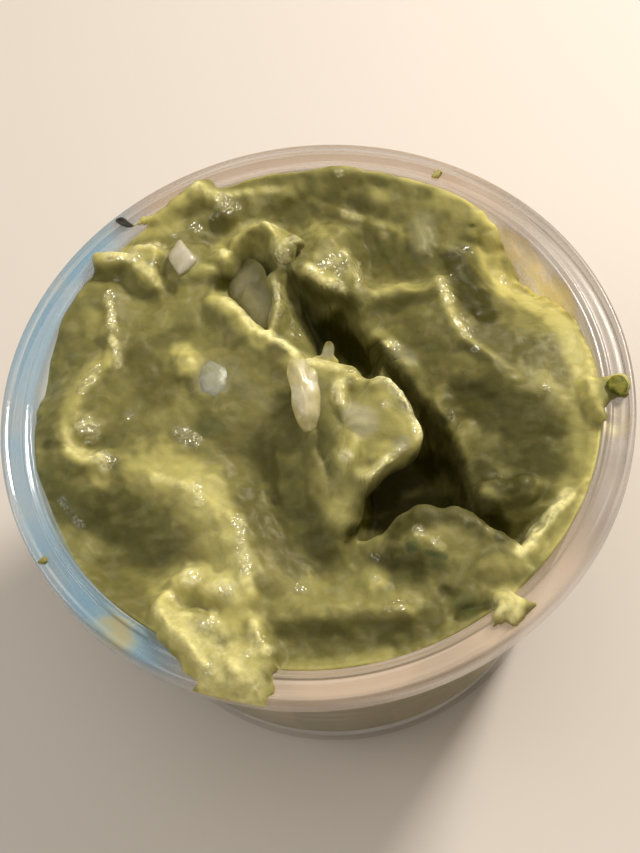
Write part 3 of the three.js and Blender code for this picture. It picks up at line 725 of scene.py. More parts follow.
@dataclass(frozen=True)
class HerbFinish:
    """A dark green herb leaf, wet and veined."""

    leaf: Point = (0.055, 0.062, 0.003)
    vein: Point = (0.19, 0.175, 0.018)
    veined: Patches = Patches(size=1.4, warp=0.5, start=0.40, full=0.62, most=0.9)

    def build(self) -> bpy.types.Material:
        """Dark green, lighter at its veins, hardly shining.

        Returns:
            The material.
        """
        sheet = NodeSheet("herb_leaf")
        sheet.link(sheet.blend(sheet.patches(self.veined), self.leaf, self.vein), "Base Color")
        relief = sheet.noise(size=0.5, detail=2.0)
        sheet.link(sheet.bump(relief, depth=0.15, strength=0.6), "Normal")
        sheet.set(Roughness=0.6, Subsurface_Weight=0.2, Subsurface_Scale=0.0005,
                  Specular_IOR_Level=0.2)
        return sheet.material


@dataclass(frozen=True)
class SpeckFinish:
    """A charred black flake."""

    black: Point = (0.012, 0.011, 0.008)
    brown: Point = (0.05, 0.04, 0.02)
    scorched: Patches = Patches(size=0.5, detail=2.0, start=0.4, full=0.7)

    def build(self) -> bpy.types.Material:
        """Near black with brown patches.

        Returns:
            The material.
        """
        sheet = NodeSheet("charred_flake")
        sheet.link(sheet.blend(sheet.patches(self.scorched), self.black, self.brown), "Base Color")
        sheet.set(Roughness=0.45)
        return sheet.material


@dataclass(frozen=True)
class PlasticFinish:
    """Thin clear plastic: see-through face on, denser at its edges, with fine rings of painted
    highlight.

    Each side's painted tint comes in between two distances from the axis, given outer first, and
    the rings change ring_fineness times faster outwards than round the axis.
    """

    haze: Point = (0.44, 0.31, 0.21)
    # Painted reflection: a blue tint on the left side.
    painted_blue_reflection: Point = (0.16, 0.35, 0.49)
    # Painted shade: a darker tint on the right side.
    painted_right_shade: Point = (0.23, 0.18, 0.135)
    # Painted light: a lighter tint at the front.
    painted_front_light: Point = (0.72, 0.55, 0.40)
    drift_haze: Point = (0.48, 0.39, 0.30)
    # Painted highlight: the pale colour of the rings.
    painted_ring_highlight: Point = (0.70, 0.68, 0.63)
    painted_reflection_side: Point = (-24, -14)
    painted_light_side: Point = (-31, -22)
    painted_shade_side: Point = (31, 24)
    films: tuple[Film, ...] = (
        Film((-25.8, -24.2, 0.0), 1.0, 4.6, (0.42, 0.36, 0.17)),
        Film((33.2, -9.0, 0.0), 0.6, 3.0, (0.60, 0.50, 0.26)),
        # These two films in the bay are partly real smears and partly painted light: their tints
        # are lightened to stand for light falling on them.
        Film((27.0, 17.5, -7.0), 4.5, 7.0, (0.95, 0.80, 0.56)),
        Film((30.6, 11.0, -6.5), 4.0, 6.5, (0.95, 0.78, 0.44)))
    drift: Patches = Patches(size=9.0, warp=0.5, start=0.4, full=0.65, most=0.35)
    smeared: Patches = Patches(size=3.0, warp=0.5, start=0.30, full=0.60, least=0.2, most=0.9)
    matt: Patches = Patches(size=6.0, detail=4.0, start=0.4, full=0.7, least=0.05, most=0.14)
    ring_length: float = 26.0
    ring_fineness: float = 60.0
    wall: float = 0.14
    rim: float = 0.48
    edge_on: float = 0.35
    film_density: float = 0.8

    def rings(self, sheet: NodeSheet, axes: bpy.types.Node) -> Socket:
        """Fine broken rings of painted highlight: noise in space whose fourth coordinate is the
        distance outwards.

        Args:
            sheet: the node tree that they go into.
            axes: the node that parts a place into its coordinates.

        Returns:
            The rings' strength.
        """
        squares = [sheet.math("MULTIPLY", axes.outputs[k], axes.outputs[k]) for k in "XY"]
        radius = sheet.math("POWER", sheet.math("ADD", *squares), 0.5)
        noise = sheet.tree.nodes.new("ShaderNodeTexNoise")
        noise.noise_dimensions = "4D"
        noise.inputs["Scale"].default_value = 1.0 / (self.ring_length * MM)
        noise.inputs["Detail"].default_value = 1.0
        sheet.tree.links.new(sheet.place, noise.inputs["Vector"])
        sheet.tree.links.new(sheet.math("MULTIPLY", radius, self.ring_fineness), noise.inputs["W"])
        return sheet.span(noise.outputs["Fac"], 0.55, 0.72, 0.0, 0.4)

    def build(self) -> bpy.types.Material:
        """Opacity from the height, the angle of view, the rings and films, and a tint by side: a
        haze, a painted blue reflection on the left, painted light at the front and painted shade on
        the right.

        Returns:
            The material.
        """
        sheet = NodeSheet("clear_plastic")
        axes = sheet.tree.nodes.new("ShaderNodeSeparateXYZ")
        sheet.tree.links.new(sheet.place, axes.inputs[0])
        line = self.rings(sheet, axes)
        # Painted light: the front is tinted lighter.
        outer, inner = self.painted_light_side
        front = sheet.span(axes.outputs["Y"], outer * MM, inner * MM, 1.0, 0.0)
        colour = sheet.blend(front, self.haze, self.painted_front_light)
        # Painted reflection: the left side is tinted blue.
        outer, inner = self.painted_reflection_side
        cool = sheet.span(axes.outputs["X"], outer * MM, inner * MM, 1.0, 0.0)
        colour = sheet.blend(cool, colour, self.painted_blue_reflection)
        # Painted shade: the right side is tinted darker; the same mask also roughens it and thins
        # its coat.
        outer, inner = self.painted_shade_side
        right = sheet.span(axes.outputs["X"], inner * MM, outer * MM, 0.0, 1.0)
        colour = sheet.blend(right, colour, self.painted_right_shade)
        colour = sheet.blend(sheet.patches(self.drift), colour, self.drift_haze)
        # Painted highlight: the rings are made pale.
        colour = sheet.blend(line, colour, self.painted_ring_highlight)
        smeared = sheet.patches(self.smeared)
        filmed = 0.0
        for film in self.films:
            share = sheet.math("MULTIPLY", sheet.near(film), smeared)
            colour = sheet.blend(share, colour, film.tint)
            filmed = sheet.math("MAXIMUM", filmed, share)
        sheet.link(colour, "Base Color")
        view = sheet.tree.nodes.new("ShaderNodeLayerWeight")
        view.inputs["Blend"].default_value = 0.5
        edge = sheet.span(view.outputs["Facing"], 0.4, 1.0, 0.0, self.edge_on)
        low, high = RIM_HEIGHT - 3.5 * MM, RIM_HEIGHT - 0.9 * MM
        body = sheet.span(axes.outputs["Z"], low, high, self.wall, self.rim)
        # The rings of painted highlight are also made more opaque.
        share = sheet.math("ADD", edge, sheet.math("MULTIPLY", line, 0.3))
        share = sheet.math("ADD", share, sheet.math("MULTIPLY", filmed, self.film_density))
        sheet.link(sheet.math("ADD", body, share, clamp=True), "Alpha")
        matt = sheet.patches(self.matt)
        sheet.link(sheet.math("ADD", matt, sheet.math("MULTIPLY", right, 0.25)), "Roughness")
        gloss = sheet.math("SUBTRACT", 1.0, sheet.math("MULTIPLY", right, 0.75))
        sheet.link(gloss, "Coat Weight")
        sheet.set(Specular_IOR_Level=1.0, Coat_Roughness=0.06)
        return sheet.material


@dataclass(frozen=True)
class FloorFinish:
    """A plain pale surface."""

    colour: Point = (0.70, 0.63, 0.57)
    darker: Point = (0.66, 0.59, 0.53)
    drift: Patches = Patches(size=60.0, detail=2.0, start=0.3, full=0.7, most=0.08)

    def build(self) -> bpy.types.Material:
        """Plain and matt, with a trace of variation.

        Returns:
            The material.
        """
        sheet = NodeSheet("pale_floor")
        sheet.link(sheet.blend(sheet.patches(self.drift), self.colour, self.darker), "Base Color")
        sheet.set(Roughness=0.7)
        return sheet.material


# ------------------------------------------------------------------ the cup

@dataclass
class Cup:
    """The clear cup: a foot ring, a tapered wall, a beaded rim and the skirt that hangs from it."""

    wall_top: float = 33.2
    taper: float = 0.178
    outer_bead: float = 0.5
    inner_bead: tuple[float, float] = (0.32, 0.26)
    inner_bead_at: float = 34.05
    wall: float = 0.8
    floor: float = 1.2
    foot_recess: float = 0.8
    skirt: float = 3.0
    lip: float = 0.7
    segments: int = 256

    @property
    def height(self) -> float:
        """Base to rim."""
        return RIM_HEIGHT / MM

    def inner(self, z: float | np.ndarray) -> float | np.ndarray:
        """Radius of the inside of the wall at height z."""
        return self.wall_top + self.taper * np.minimum(z, 0.0)

    def rim_top(self) -> list[Point]:
        """The top of the rim from its outer edge in to the wall: two beads and a shallow land.

        Returns:
            Points (radius, z), each bead an arc.
        """
        rim, bead = RIM_RADIUS, self.outer_bead
        outer_bead = [(rim - bead + bead * math.cos(a), -bead + bead * math.sin(a))
                      for a in np.linspace(0.0, math.pi * 0.8, 8)]
        land = [(rim - 1.25, -0.26), (rim - 1.9, -0.28), (rim - 2.5, -0.26)]
        wide, high = self.inner_bead
        inner_bead = [(self.inner_bead_at + wide * math.cos(a), -high + high * math.sin(a))
                      for a in np.linspace(0.15, math.pi * 0.85, 6)]
        step = [(33.55, -0.24), (33.42, -0.1), (33.3, -0.12), (33.2, -0.35)]
        return outer_bead + land + inner_bead + step

    def profile(self) -> list[Point]:
        """The whole section, from the axis under the base to the axis on the floor.

        Returns:
            Points (radius, z).
        """
        base = -self.height
        floor = base + self.foot_recess + self.floor
        outer = self.inner(base) + self.wall
        rim = RIM_RADIUS
        below = [
            (0.0, base + self.foot_recess),
            (outer - 4.2, base + self.foot_recess),
            (outer - 3.7, base + 0.1),
            (outer - 3.3, base),
            (outer - 0.9, base),
            (outer - 0.3, base + 0.15),
            (outer, base + 0.7),
            (self.wall_top + self.wall - 0.3, -1.9),
            (self.wall_top + self.wall - 0.1, -1.3),
            (self.wall_top + self.wall + 0.3, -1.0),
            (rim - self.lip - 0.3, -1.0),
            (rim - self.lip, -1.3),
            (rim - self.lip, -self.skirt + 0.1),
            (rim - self.lip + 0.15, -self.skirt),
            (rim - 0.15, -self.skirt),
            (rim, -self.skirt + 0.15),
        ]
        within = [
            (self.inner(-1.0) + 0.05, -1.0),
            (self.inner(-2.6) + 0.05, -2.6),
            (self.inner(-3.2) - 0.08, -3.2),
            (self.inner(-4.0), -4.0),
            (self.inner(floor + 1.8), floor + 1.8),
            (self.inner(floor) - 0.5, floor + 0.6),
            (self.inner(floor) - 1.8, floor),
            (0.0, floor),
        ]
        return below + self.rim_top() + within

    def room(self, headroom: float, reach: float) -> list[Point]:
        """The section of the contents' room, reach millimetres into the cup's own material.

        Args:
            headroom: the top of the room above the rim plane.
            reach: how far the room goes into the wall, the floor and the rim.

        Returns:
            Points (radius, z) from the axis, out and back to the axis.
        """
        floor = -self.height + self.foot_recess + self.floor - reach
        top = [(radius + (reach if z < -0.3 else 0.0), z - reach) for radius, z in self.rim_top()]
        lip = [point for point in top if point[0] < RIM_RADIUS - 0.25]
        wall = [
            (0.0, floor),
            (self.inner(floor) - 1.8, floor),
            (self.inner(floor + 1.8) + reach, floor + 1.8),
            (self.inner(-4.0) + reach, -4.0),
            (self.inner(-1.0) + reach, -1.0),
        ]
        outside = RIM_RADIUS + 0.4
        over = [(RIM_RADIUS + 0.1, -0.6), (outside, -0.8), (outside, headroom), (0.0, headroom)]
        return wall + lip[::-1] + over

    def build(self) -> bpy.types.Object:
        """Makes the cup's mesh, which casts no shadow, and dresses it.

        Returns:
            The cup.
        """
        points, faces = turned(self.profile(), self.segments)
        cup = new_mesh("portion_cup", points, faces)
        cup.data.materials.append(PlasticFinish().build())
        cup.visible_shadow = False
        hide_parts("clear_cup")
        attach(cup, BODY)
        return cup


# ------------------------------------------------------------------ forms of the guacamole's top

@dataclass(frozen=True)
class Slab:
    """A raised place inside a closed outline: levelled to top, or lifted where top is None."""

    outline: tuple[Point, ...]
    edge: float
    top: float | None = None
    lift: float = 0.0


@dataclass(frozen=True)
class Ridge:
    """A fold or lip: its crest, the half widths of its two slopes and how far they fall."""

    crest: tuple[Point, ...]
    left: float
    right: float
    depth: float
    blend: float = 0.5

    def height(self, x: np.ndarray, y: np.ndarray) -> np.ndarray:
        """The crest's height less a slope that steepens and then runs straight.

        With t the distance over the half width, the fall is depth times
        1.25 (1 - 1 / (1 + t to the 1.8)), and past t = 1.5 also t - 1.5.

        Args:
            x, y: the places.

        Returns:
            The height at each place.
        """
        distance, side, top = along_line(x, y, smooth_curve(self.crest, closed=False))
        t = distance / np.where(side > 0, self.left, self.right)
        return top - self.depth * (1.25 * (1 - 1 / (1 + t ** 1.8)) + np.maximum(t - 1.5, 0))


@dataclass(frozen=True)
class Lump:
    """Half an ellipsoid: its top, its radii across and along, and how far it is turned."""

    top: Point
    across: float
    along: float
    rise: float
    turn: float = 0.0

    def height(self, x: np.ndarray, y: np.ndarray) -> np.ndarray:
        """The ellipsoid's cap, which runs on downwards past its edge.

        Args:
            x, y: the places.

        Returns:
            The height at each place.
        """
        dx, dy = x - self.top[0], y - self.top[1]
        u = (dx * math.cos(self.turn) + dy * math.sin(self.turn)) / self.across
        v = (dy * math.cos(self.turn) - dx * math.sin(self.turn)) / self.along
        q = u * u + v * v
        return self.top[2] - self.rise * np.where(q < 1, 1 - np.sqrt(np.clip(1 - q, 0, 1)), q)


@dataclass(frozen=True)
class Hollow:
    """A hollow or groove: its outline, its floor, its wall's width and how far its lip leans."""

    outline: tuple[Point, ...]
    floor: float
    edge: float
    lean: float = 0.0


@dataclass(frozen=True)
class Spill:
    """Guacamole that lies on the rim: a closed outline, its top and the width of its round edge."""

    outline: tuple[Point, ...]
    top: float
    edge: float


@dataclass(frozen=True)
class Lobe:
    """A cushion-shaped solid on a closed outline, domed above its centre and below it.

    Its surface at the share q of the way from the centre to the outline is the centre's height,
    turning into the outline's as q to the 2.2, plus or minus the dome: rise or drop times the
    root of 1 - q to the boxiness.
    """

    outline: tuple[Point, ...]
    centre: Point
    rise: float
    drop: float
    boxiness: float = 2.6
    rough: float = 0.35
    forms: tuple[Ridge | Lump, ...] = ()

    @staticmethod
    def spread(rings: int) -> np.ndarray:
        """The shares of the way out, over the top and back underneath, that the rings stand at."""
        out = np.sin(math.pi / 2 * np.arange(1, rings + 1) / rings)
        return np.concatenate([out, out[-2::-1]])

    def mesh(self, rings: int = 22, sides: int = 110) -> tuple[np.ndarray, list]:
        """The lobe's mesh, moved by noise upwards at its middle and sideways at its edge.

        Args:
            rings: how many rings of points lie on its top and how many underneath.
            sides: how many points go round.

        Returns:
            The points and the faces.
        """
        curve = smooth_curve(self.outline, closed=True, steps=12)
        closed = np.vstack([curve, curve[:1]])
        run = np.r_[0, np.cumsum(np.linalg.norm(np.diff(closed, axis=0), axis=1))]
        at = np.linspace(0, run[-1], sides, endpoint=False)
        edge = np.stack([np.interp(at, run, closed[:, k]) for k in range(3)], axis=1)
        x, y = edge[:, 0], edge[:, 1]
        if np.sum(x * np.roll(y, -1) - np.roll(x, -1) * y) < 0:
            edge = edge[::-1]
        middle = np.array(self.centre, float)
        q = self.spread(rings)
        dome = np.sqrt(1 - q ** self.boxiness)
        dome *= np.where(np.arange(len(q)) < rings, self.rise, -self.drop)
        points = middle + (edge[None] - middle) * q[:, None, None]
        points[:, :, 2] = middle[2] + (edge[None, :, 2] - middle[2]) * q[:, None] ** 2.2
        points[:, :, 2] += dome[:, None]
        top = points[:rings]
        for form in self.forms:
            top[:, :, 2] = smooth_max(top[:, :, 2], form.height(top[:, :, 0], top[:, :, 1]), 0.5)
        rows = len(q)
        points = np.vstack([points.reshape(-1, 3), middle + [0, 0, self.rise],
                            middle - [0, 0, self.drop]])
        outward = (points - middle) * [1, 1, 0]
        up = 4 * (1 - q) * np.where(np.arange(rows) < rings, 1, -1)
        outward[:, 2] = np.r_[np.repeat(up, sides), 4, -4]
        outward /= np.maximum(np.linalg.norm(outward, axis=1, keepdims=True), LEAST_LENGTH)
        swell = NOISE.rough(points + 5.1, 3.4, 2) + 0.7 * NOISE.lumps(points, 2.3)
        points = points + outward * (self.rough * swell)[:, None]
        faces = grid_faces(rows, sides, wrap=True)[:, ::-1].tolist()
        first = np.arange(sides)
        after = (first + 1) % sides
        last = (rows - 1) * sides
        top, bottom = rows * sides, rows * sides + 1
        faces += fan(first, after, top)
        faces += fan(last + after, last + first, bottom)
        return points, faces


LEVEL_MARKS = (
    # along the wall
    (-32.6, 1, -3), (-31.6, 8.5, -3.4), (-29.4, 15, -1.4), (-26.4, 20, 0.8), (-23, 24.5, -0.8),
    (-17, 29, -0.2), (-9, 32, 0.3), (0, 33, 0.2), (8.6, 32.2, 1.6), (15, 30, 0.5), (20.3, 26, 0.1),
    (23.8, 22.8, -0.8), (25.5, 19.5, -6), (28, 15.5, -9), (30.3, 11.5, -6), (31.9, 7, -3.2),
    (32.8, 2, -2), (32.6, -6, -1.0), (31, -12, -0.7), (27.4, -18.7, -0.4), (22, -24.8, -0.3),
    (16, -29, -0.3), (9, -31.8, -0.4), (0, -33, -0.4), (-8, -32, -0.4), (-15, -29.5, 0),
    (-22, -24.5, -0.2), (-26.5, -19.5, -1.0), (-29.5, -14, -2.4), (-32.2, -6, -3.0),
    # left plateau and the slope in front of it
    (-28, 10, -1), (-26, 3, 0.4), (-20, 14, 0.2), (-18, 6, 0.2), (-12, 5, -0.2), (-8, 10, 0.8),
    (-5, 3, 0.8), (-16, -2, 0.7), (-10, -4, -0.8), (-6, -9, -1.6), (-4.4, -15, -2.2),
    (-1, -21, -2.4), (-6, -22, -1.4), (-28, -5, -2.6), (-24, -8, -3.4), (-20, -11.5, -3.2),
    (-23, -15, -4.6), (-18, -16.5, -2.4), (-27, -12, -4.4),
    # back
    (-15, 18, -1), (-19, 20, -0.8), (-12, 20, -1.2), (-12, 27, -0.8), (-7, 27, -2.4),
    (0, 27, -3.6), (6, 26, -3.2), (11, 24, -2.4), (9, 19, -3.6), (14, 21, -2), (18, 22, -1.2),
    (12, 16, -2.8), (17, 16, -1.8), (20, 18, -1.8), (4, 20, -3.4),
    # right
    (19.4, 11.5, -0.4), (21.2, 9, -1.2), (20.6, 14, -1.4), (22.6, 4, -0.3), (25, 10, -3.4),
    (27, 4, -0.8), (12, 8, -1.3), (15, 9, 0.2), (18, 5, 0.8), (14, 4, -1.3), (11.4, 2, -2.2),
    (14.4, -2, -2.0), (18, -1, -0.2), (22, -3, 0.5), (26, -4, 0), (29, 0, -1.2), (29.4, -7, -1.6),
    (17, -9, -2.2), (21, -9, -1.5), (26, -11, -2.2), (19, -14, -2.2), (23, -15, -3.2),
    (17, -15.5, -2.4),
    # front
    (10, -20, 1.7), (14, -20.5, 1.2), (7, -21.5, 1), (3, -24, -1), (15, -25, -0.6),
    (10, -24.5, -0.3), (18.5, -26, -0.8), (-7, -29.6, -1.1), (-2, -30, -1.5), (3, -30.4, -1.7),
    (8, -30, -1.6),
)

SLABS = {
    "upper left slab": Slab(
        ((-23.4, 25.2), (-20, 24.2), (-16.5, 24.8), (-14.6, 24), (-15.6, 21.8), (-16.6, 19.6),
         (-18, 21.2), (-20.4, 22.2), (-23.2, 22.8)), edge=1.2, top=2.0),
    "right fold": Slab(
        ((7.6, 12), (10.5, 12.8), (12, 12.6), (15, 11.8), (17, 12), (17.2, 9.4), (17.8, 6),
         (19.4, 3.6), (22, 0.4), (24, -2.4), (21, -3), (17, -1), (12, 4), (9, 8)),
        edge=2.4, lift=0.5),
    "top lump": Slab(
        ((1.5, 16.2), (2.2, 18.4), (3.6, 20.4), (4.4, 22), (6, 21.2), (7.4, 19.4), (8, 17.2),
         (7.2, 14.6), (5.4, 13.9), (3.2, 14.6)), edge=1.6, top=1.9),
}

RIDGES = {
    "top lump edge": Ridge(
        ((6.8, 14.4, 1.4), (4.4, 14.8, 2.0), (2.5, 16.2, 2.5), (2.6, 18.0, 2.5), (4.0, 19.8, 2.3),
         (5.4, 20.8, 1.8)), 1.6, 1.0, 1.4, blend=0.9),
    "slab tip": Ridge(((-19, 22.2, 2.0), (-17.4, 20.6, 1.7), (-16.4, 19.2, 0.9)), 1.0, 1.0, 2.5),
    "ledge": Ridge(
        ((-15.5, 20.6, 0.3), (-12.4, 20.3, 0.9), (-9.8, 20.7, 0.8), (-8.8, 21.9, 0.2)),
        1.3, 0.8, 1.6),
    "plateau fold": Ridge(
        ((-19.5, 11.8, 0.3), (-16.4, 14.8, 0.9), (-13, 17.4, 0.5)), 1.0, 2.4, 1.0),
    "slope streak": Ridge(
        ((-13, -7.5, 0.6), (-9.4, -12, 0.0), (-7, -17, -0.6), (-5, -21, -1.0)), 1.0, 1.4, 0.9,
        blend=0.9),
    "slope band": Ridge(
        ((-9.6, -18, 0.6), (-7, -20.8, 0.0), (-4.4, -23.8, -0.5)), 1.0, 1.3, 1.4),
    "chunk root": Ridge(
        ((-0.4, -4.4, 3.0), (-0.6, -8, 2.9), (-0.8, -12, 2.5), (-0.7, -15, 1.9),
         (0.0, -17.6, 0.8)), 1.6, 3.0, 2.8, blend=1.2),
    "mound lip": Ridge(
        ((5.6, -19.8, 0.2), (8.2, -17.8, 1.4), (10, -16.9, 1.7), (13.5, -17.9, 1.6),
         (16.2, -19.4, 1.3), (17.6, -21.6, 0.9), (19.4, -23.8, 0.3)), 0.9, 2.6, 2.2, blend=1.4),
    "far bank": Ridge(
        ((-17, 30.2, 0.2), (-13.5, 30.6, 0.8), (-10.5, 31.3, 1.3), (-8.9, 31.9, 2.1),
         (-7.6, 31, 1.1), (-5, 30.9, 0.2), (-2.5, 30.7, 0.1), (1.5, 30.2, -0.8)), 1.6, 1.8, 2.2),
    "far lip": Ridge(
        ((3, 31.6, 0.1), (7, 31.9, 0.4), (10, 31.3, 0.5), (14, 29.8, 0.4), (18, 27.2, 0.2),
         (21, 24.9, 0.1), (23.4, 22.5, 0.1), (24.8, 20.8, -1.6), (25, 19, -4)), 1.5, 1.8, 2.0),
    "arch": Ridge(
        ((-7, 21.5, -0.5), (-6.2, 23.3, 1.6), (-4, 24.4, 2.8), (-2, 23.6, 3.4), (-1, 21.5, 3.4),
         (-0.6, 19.8, 3), (-1.2, 18.2, 2.2), (-2.4, 17, 1.8)), 1.9, 1.3, 5.5),
    "divider": Ridge(
        ((-2.4, 18, 1.8), (-2, 14.8, 2.4), (-2.4, 11.6, 2.6), (-3.4, 9.6, 2.6)), 0.9, 1.1, 7.0),
    "roll": Ridge(((-4.7, 9.2, 3.1), (-3, 7.6, 3.5), (-1.2, 5.0, 3.5)), 0.8, 0.8, 3.5),
    "plateau edge": Ridge(
        ((-11, 17.4, -0.6), (-9.8, 15.6, 1), (-8.4, 14.4, 2.1), (-7, 12.6, 2.5), (-5.7, 10.0, 2.6),
         (-3.8, 7.6, 2.6), (-1.8, 5, 2.6)), 0.8, 2.6, 2.4),
    "left ridge": Ridge(
        ((-21.8, 20.5, 0.2), (-22.2, 16.5, 1.3), (-22.2, 12.2, 1.5), (-23, 9.2, 1.3),
         (-24.6, 8, 1.4), (-27, 5.6, 1.6), (-28.8, 2.6, 1.4), (-29.4, -0.2, 1.2),
         (-28.4, -2, 1.1), (-26, -3, 1.3), (-24.6, -3, 1.1)), 1.5, 2.2, 2.0),
    "left tip": Ridge(((-24.8, -3.2, 1.3), (-25.4, -4.6, 0.6), (-26.2, -5.6, -0.6)), 1.0, 1.0, 2.5),
    "centre left ridge": Ridge(
        ((-21.4, -4.6, 0.3), (-18, -7.3, 1.2), (-15.5, -9.4, 1.7), (-13, -12.8, 1.8),
         (-11, -15, 1.9), (-10.6, -18.8, 1.9), (-11, -22.6, 1.7), (-12.5, -25, 1.4)),
        4.5, 4.0, 4.0, blend=1.8),
    "spill ridge": Ridge(
        ((-19.6, -20.4, 0.3), (-21.2, -23, 1.2), (-20, -25.2, 2.2), (-18.5, -27.6, 2.5),
         (-17.3, -30, 2.4)), 2.2, 0.9, 3.0),
    "front ridge": Ridge(
        ((-10.5, -25.6, 0.4), (-8, -26.1, 0.8), (-4, -26.5, 0.9), (0, -26.8, 0.8), (4, -27.6, 0.8),
         (6.5, -28.2, 0.2)), 2.4, 1.7, 1.7, blend=0.8),
    "wall ridge": Ridge(
        ((28.5, -15.6, -0.6), (26.8, -17.4, -0.2), (24, -20.2, 0.2), (21, -23.2, 0.2),
         (19.4, -24, -0.2)), 1.0, 2.0, 2.2),
    "back fold 1": Ridge(
        ((3.6, 29.8, -1.6), (6, 27.6, -1.6), (9, 26, -1.4), (12.4, 25, -1.6)), 0.7, 1.6, 1.0),
    "back fold 2": Ridge(
        ((4, 26.8, -2.4), (8, 24.8, -1.9), (11, 23.3, -1.7), (14, 22.4, -1.6)), 0.7, 1.8, 1.2),
    "back peak": Ridge(((3.4, 25.6, -2.6), (4, 23, -1.2), (5.2, 21, 0.2)), 1.0, 1.6, 2.2),
    "fold crest": Ridge(
        ((7.4, 12.2, 0.2), (10.5, 13, 0.8), (12, 12.8, 0.9), (15, 12, 1.2), (17.2, 12.4, 2.1),
         (17.2, 9.6, 1.9), (17.8, 6.3, 1.6), (18.6, 4.0, 1.5), (19.9, 2.4, 1.5), (21.6, 0.0, 1.3),
         (23.4, -2.8, 0.8)), 0.8, 0.7, 1.2, blend=0.35),
    "right wall film": Ridge(
        ((24.8, 19.6, -4), (26.4, 16.2, -6.6), (28.4, 14.6, -7.4), (30.2, 11.8, -5.4),
         (31.7, 7.4, -3), (32.4, 2, -1.6), (32.2, -3, -1.2), (32.0, -8, -1.2), (30.8, -13, -1.2)),
        0.9, 2.2, 2.4),
}

LUMPS = {
    "slab knob 1": Lump((-21, 23.7, 2.8), 2.0, 1.1, 1.6),
    "slab knob 2": Lump((-17, 24.1, 2.7), 1.6, 1.1, 1.5),
    "seat of the back dice": Lump((-13, 22.6, 1.0), 2.8, 2.6, 1.2),
    "seat of the left dice": Lump((-11.6, 5.2, 0.75), 2.8, 3.8, 1.1),
    "mound knob": Lump((9, -20.4, 2.2), 1.4, 1.0, 1.2),
    "mound side": Lump((3.4, -24.6, 0.3), 1.8, 1.2, 1.4),
    "front knob": Lump((5.4, -28.2, 1.5), 1.8, 1.1, 1.6),
    "cluster left": Lump((-26.6, 1.6, 1.5), 2.3, 1.9, 1.2),
    "cluster hook": Lump((-25.2, -3.0, 1.3), 2.0, 1.2, 1.3),
    "far cluster": Lump((-6.6, 29.6, 0.6), 1.5, 2.0, 1.6),
    "lip corner": Lump((18.6, -14.6, -0.4), 2.2, 1.5, 1.6),
    "yellow crumb": Lump((-8, 21.8, 1.2), 1.1, 1.5, 1.6),
    "pale bump": Lump((12, 26.6, -0.9), 1.6, 1.2, 1.0),
    "knob": Lump((-16.8, -19.8, 0.9), 2.6, 1.8, 1.3, turn=0.3),
    "broad knob": Lump((-13, -21.8, 1.8), 3.0, 1.8, 1.2),
    "edge lump 1": Lump((9.4, 6.2, 0.2), 1.2, 1.5, 1.6),
    "edge lump 2": Lump((11, 3.4, -0.1), 1.4, 1.5, 1.6),
    "edge lump 3": Lump((14.3, -2.4, -0.2), 1.3, 3.0, 1.6, turn=-0.4),
    "edge lump 4": Lump((16.6, -7.2, -0.6), 1.3, 2.8, 1.6, turn=-0.3),
    "plateau lump": Lump((-13.8, 7.6, 1.3), 2.0, 2.2, 1.6),
    "plateau swell": Lump((-15, 13.5, 0.7), 4.0, 1.3, 1.0, turn=0.6),
    "onion under film": Lump((16.6, 21, -1.0), 1.6, 3.0, 0.7, turn=-0.2),
    "lip lump": Lump((20.5, -14.6, -0.8), 3.4, 1.6, 1.4),
}

SPILLS = {
    "tongue": Spill(
        ((-20.6, -24.0), (-19.8, -27.0), (-18.6, -29.8), (-17.2, -32.0), (-15.7, -33.5),
         (-14.0, -34.2), (-12.2, -34.3), (-10.6, -33.6), (-9.6, -32.3), (-9.2, -30.6),
         (-8.6, -29.2), (-12, -26), (-17, -23.6)), top=1.4, edge=1.1),
    "far bank": Spill(
        ((-18.6, 29), (-15, 31.0), (-11.8, 32.1), (-9.2, 33.4), (-7.6, 32.6), (-6, 31.4),
         (-8, 30.2), (-13, 29.2)), top=1.0, edge=1.2),
    "slab end": Spill(
        ((-23.9, 25.3), (-22.6, 25.9), (-20.6, 25), (-20, 23), (-22.6, 22.6), (-23.6, 23.6)),
        top=1.6, edge=1.0),
    "small peak": Spill(
        ((14.8, -27.4), (17, -27.6), (18.4, -28.6), (20.4, -29.2), (18.8, -30.4), (17.7, -32.0),
         (16.6, -31.3), (14.8, -31.6), (15.2, -29.6)), top=1.4, edge=1.2),
    "rim smear": Spill(
        ((31, -2.4), (33, -3), (35, -2.9), (36.0, -3.6), (36.2, -5), (35.4, -6.2), (34, -6.0),
         (33, -6.6), (32.6, -8.4), (31.8, -8.8), (31.2, -7), (30.6, -5)), top=0.4, edge=0.9),
    "rim crumb": Spill(
        ((18.7, 28.9), (19.6, 29.4), (20.2, 28.8), (19.8, 28.2), (19, 28.2)), top=0.7, edge=0.8),
    "left rim crumb": Spill(
        ((-33.6, -13.6), (-33, -13.2), (-32.6, -14.2), (-33.2, -14.8), (-33.9, -14.4)),
        top=0.35, edge=0.7),
}

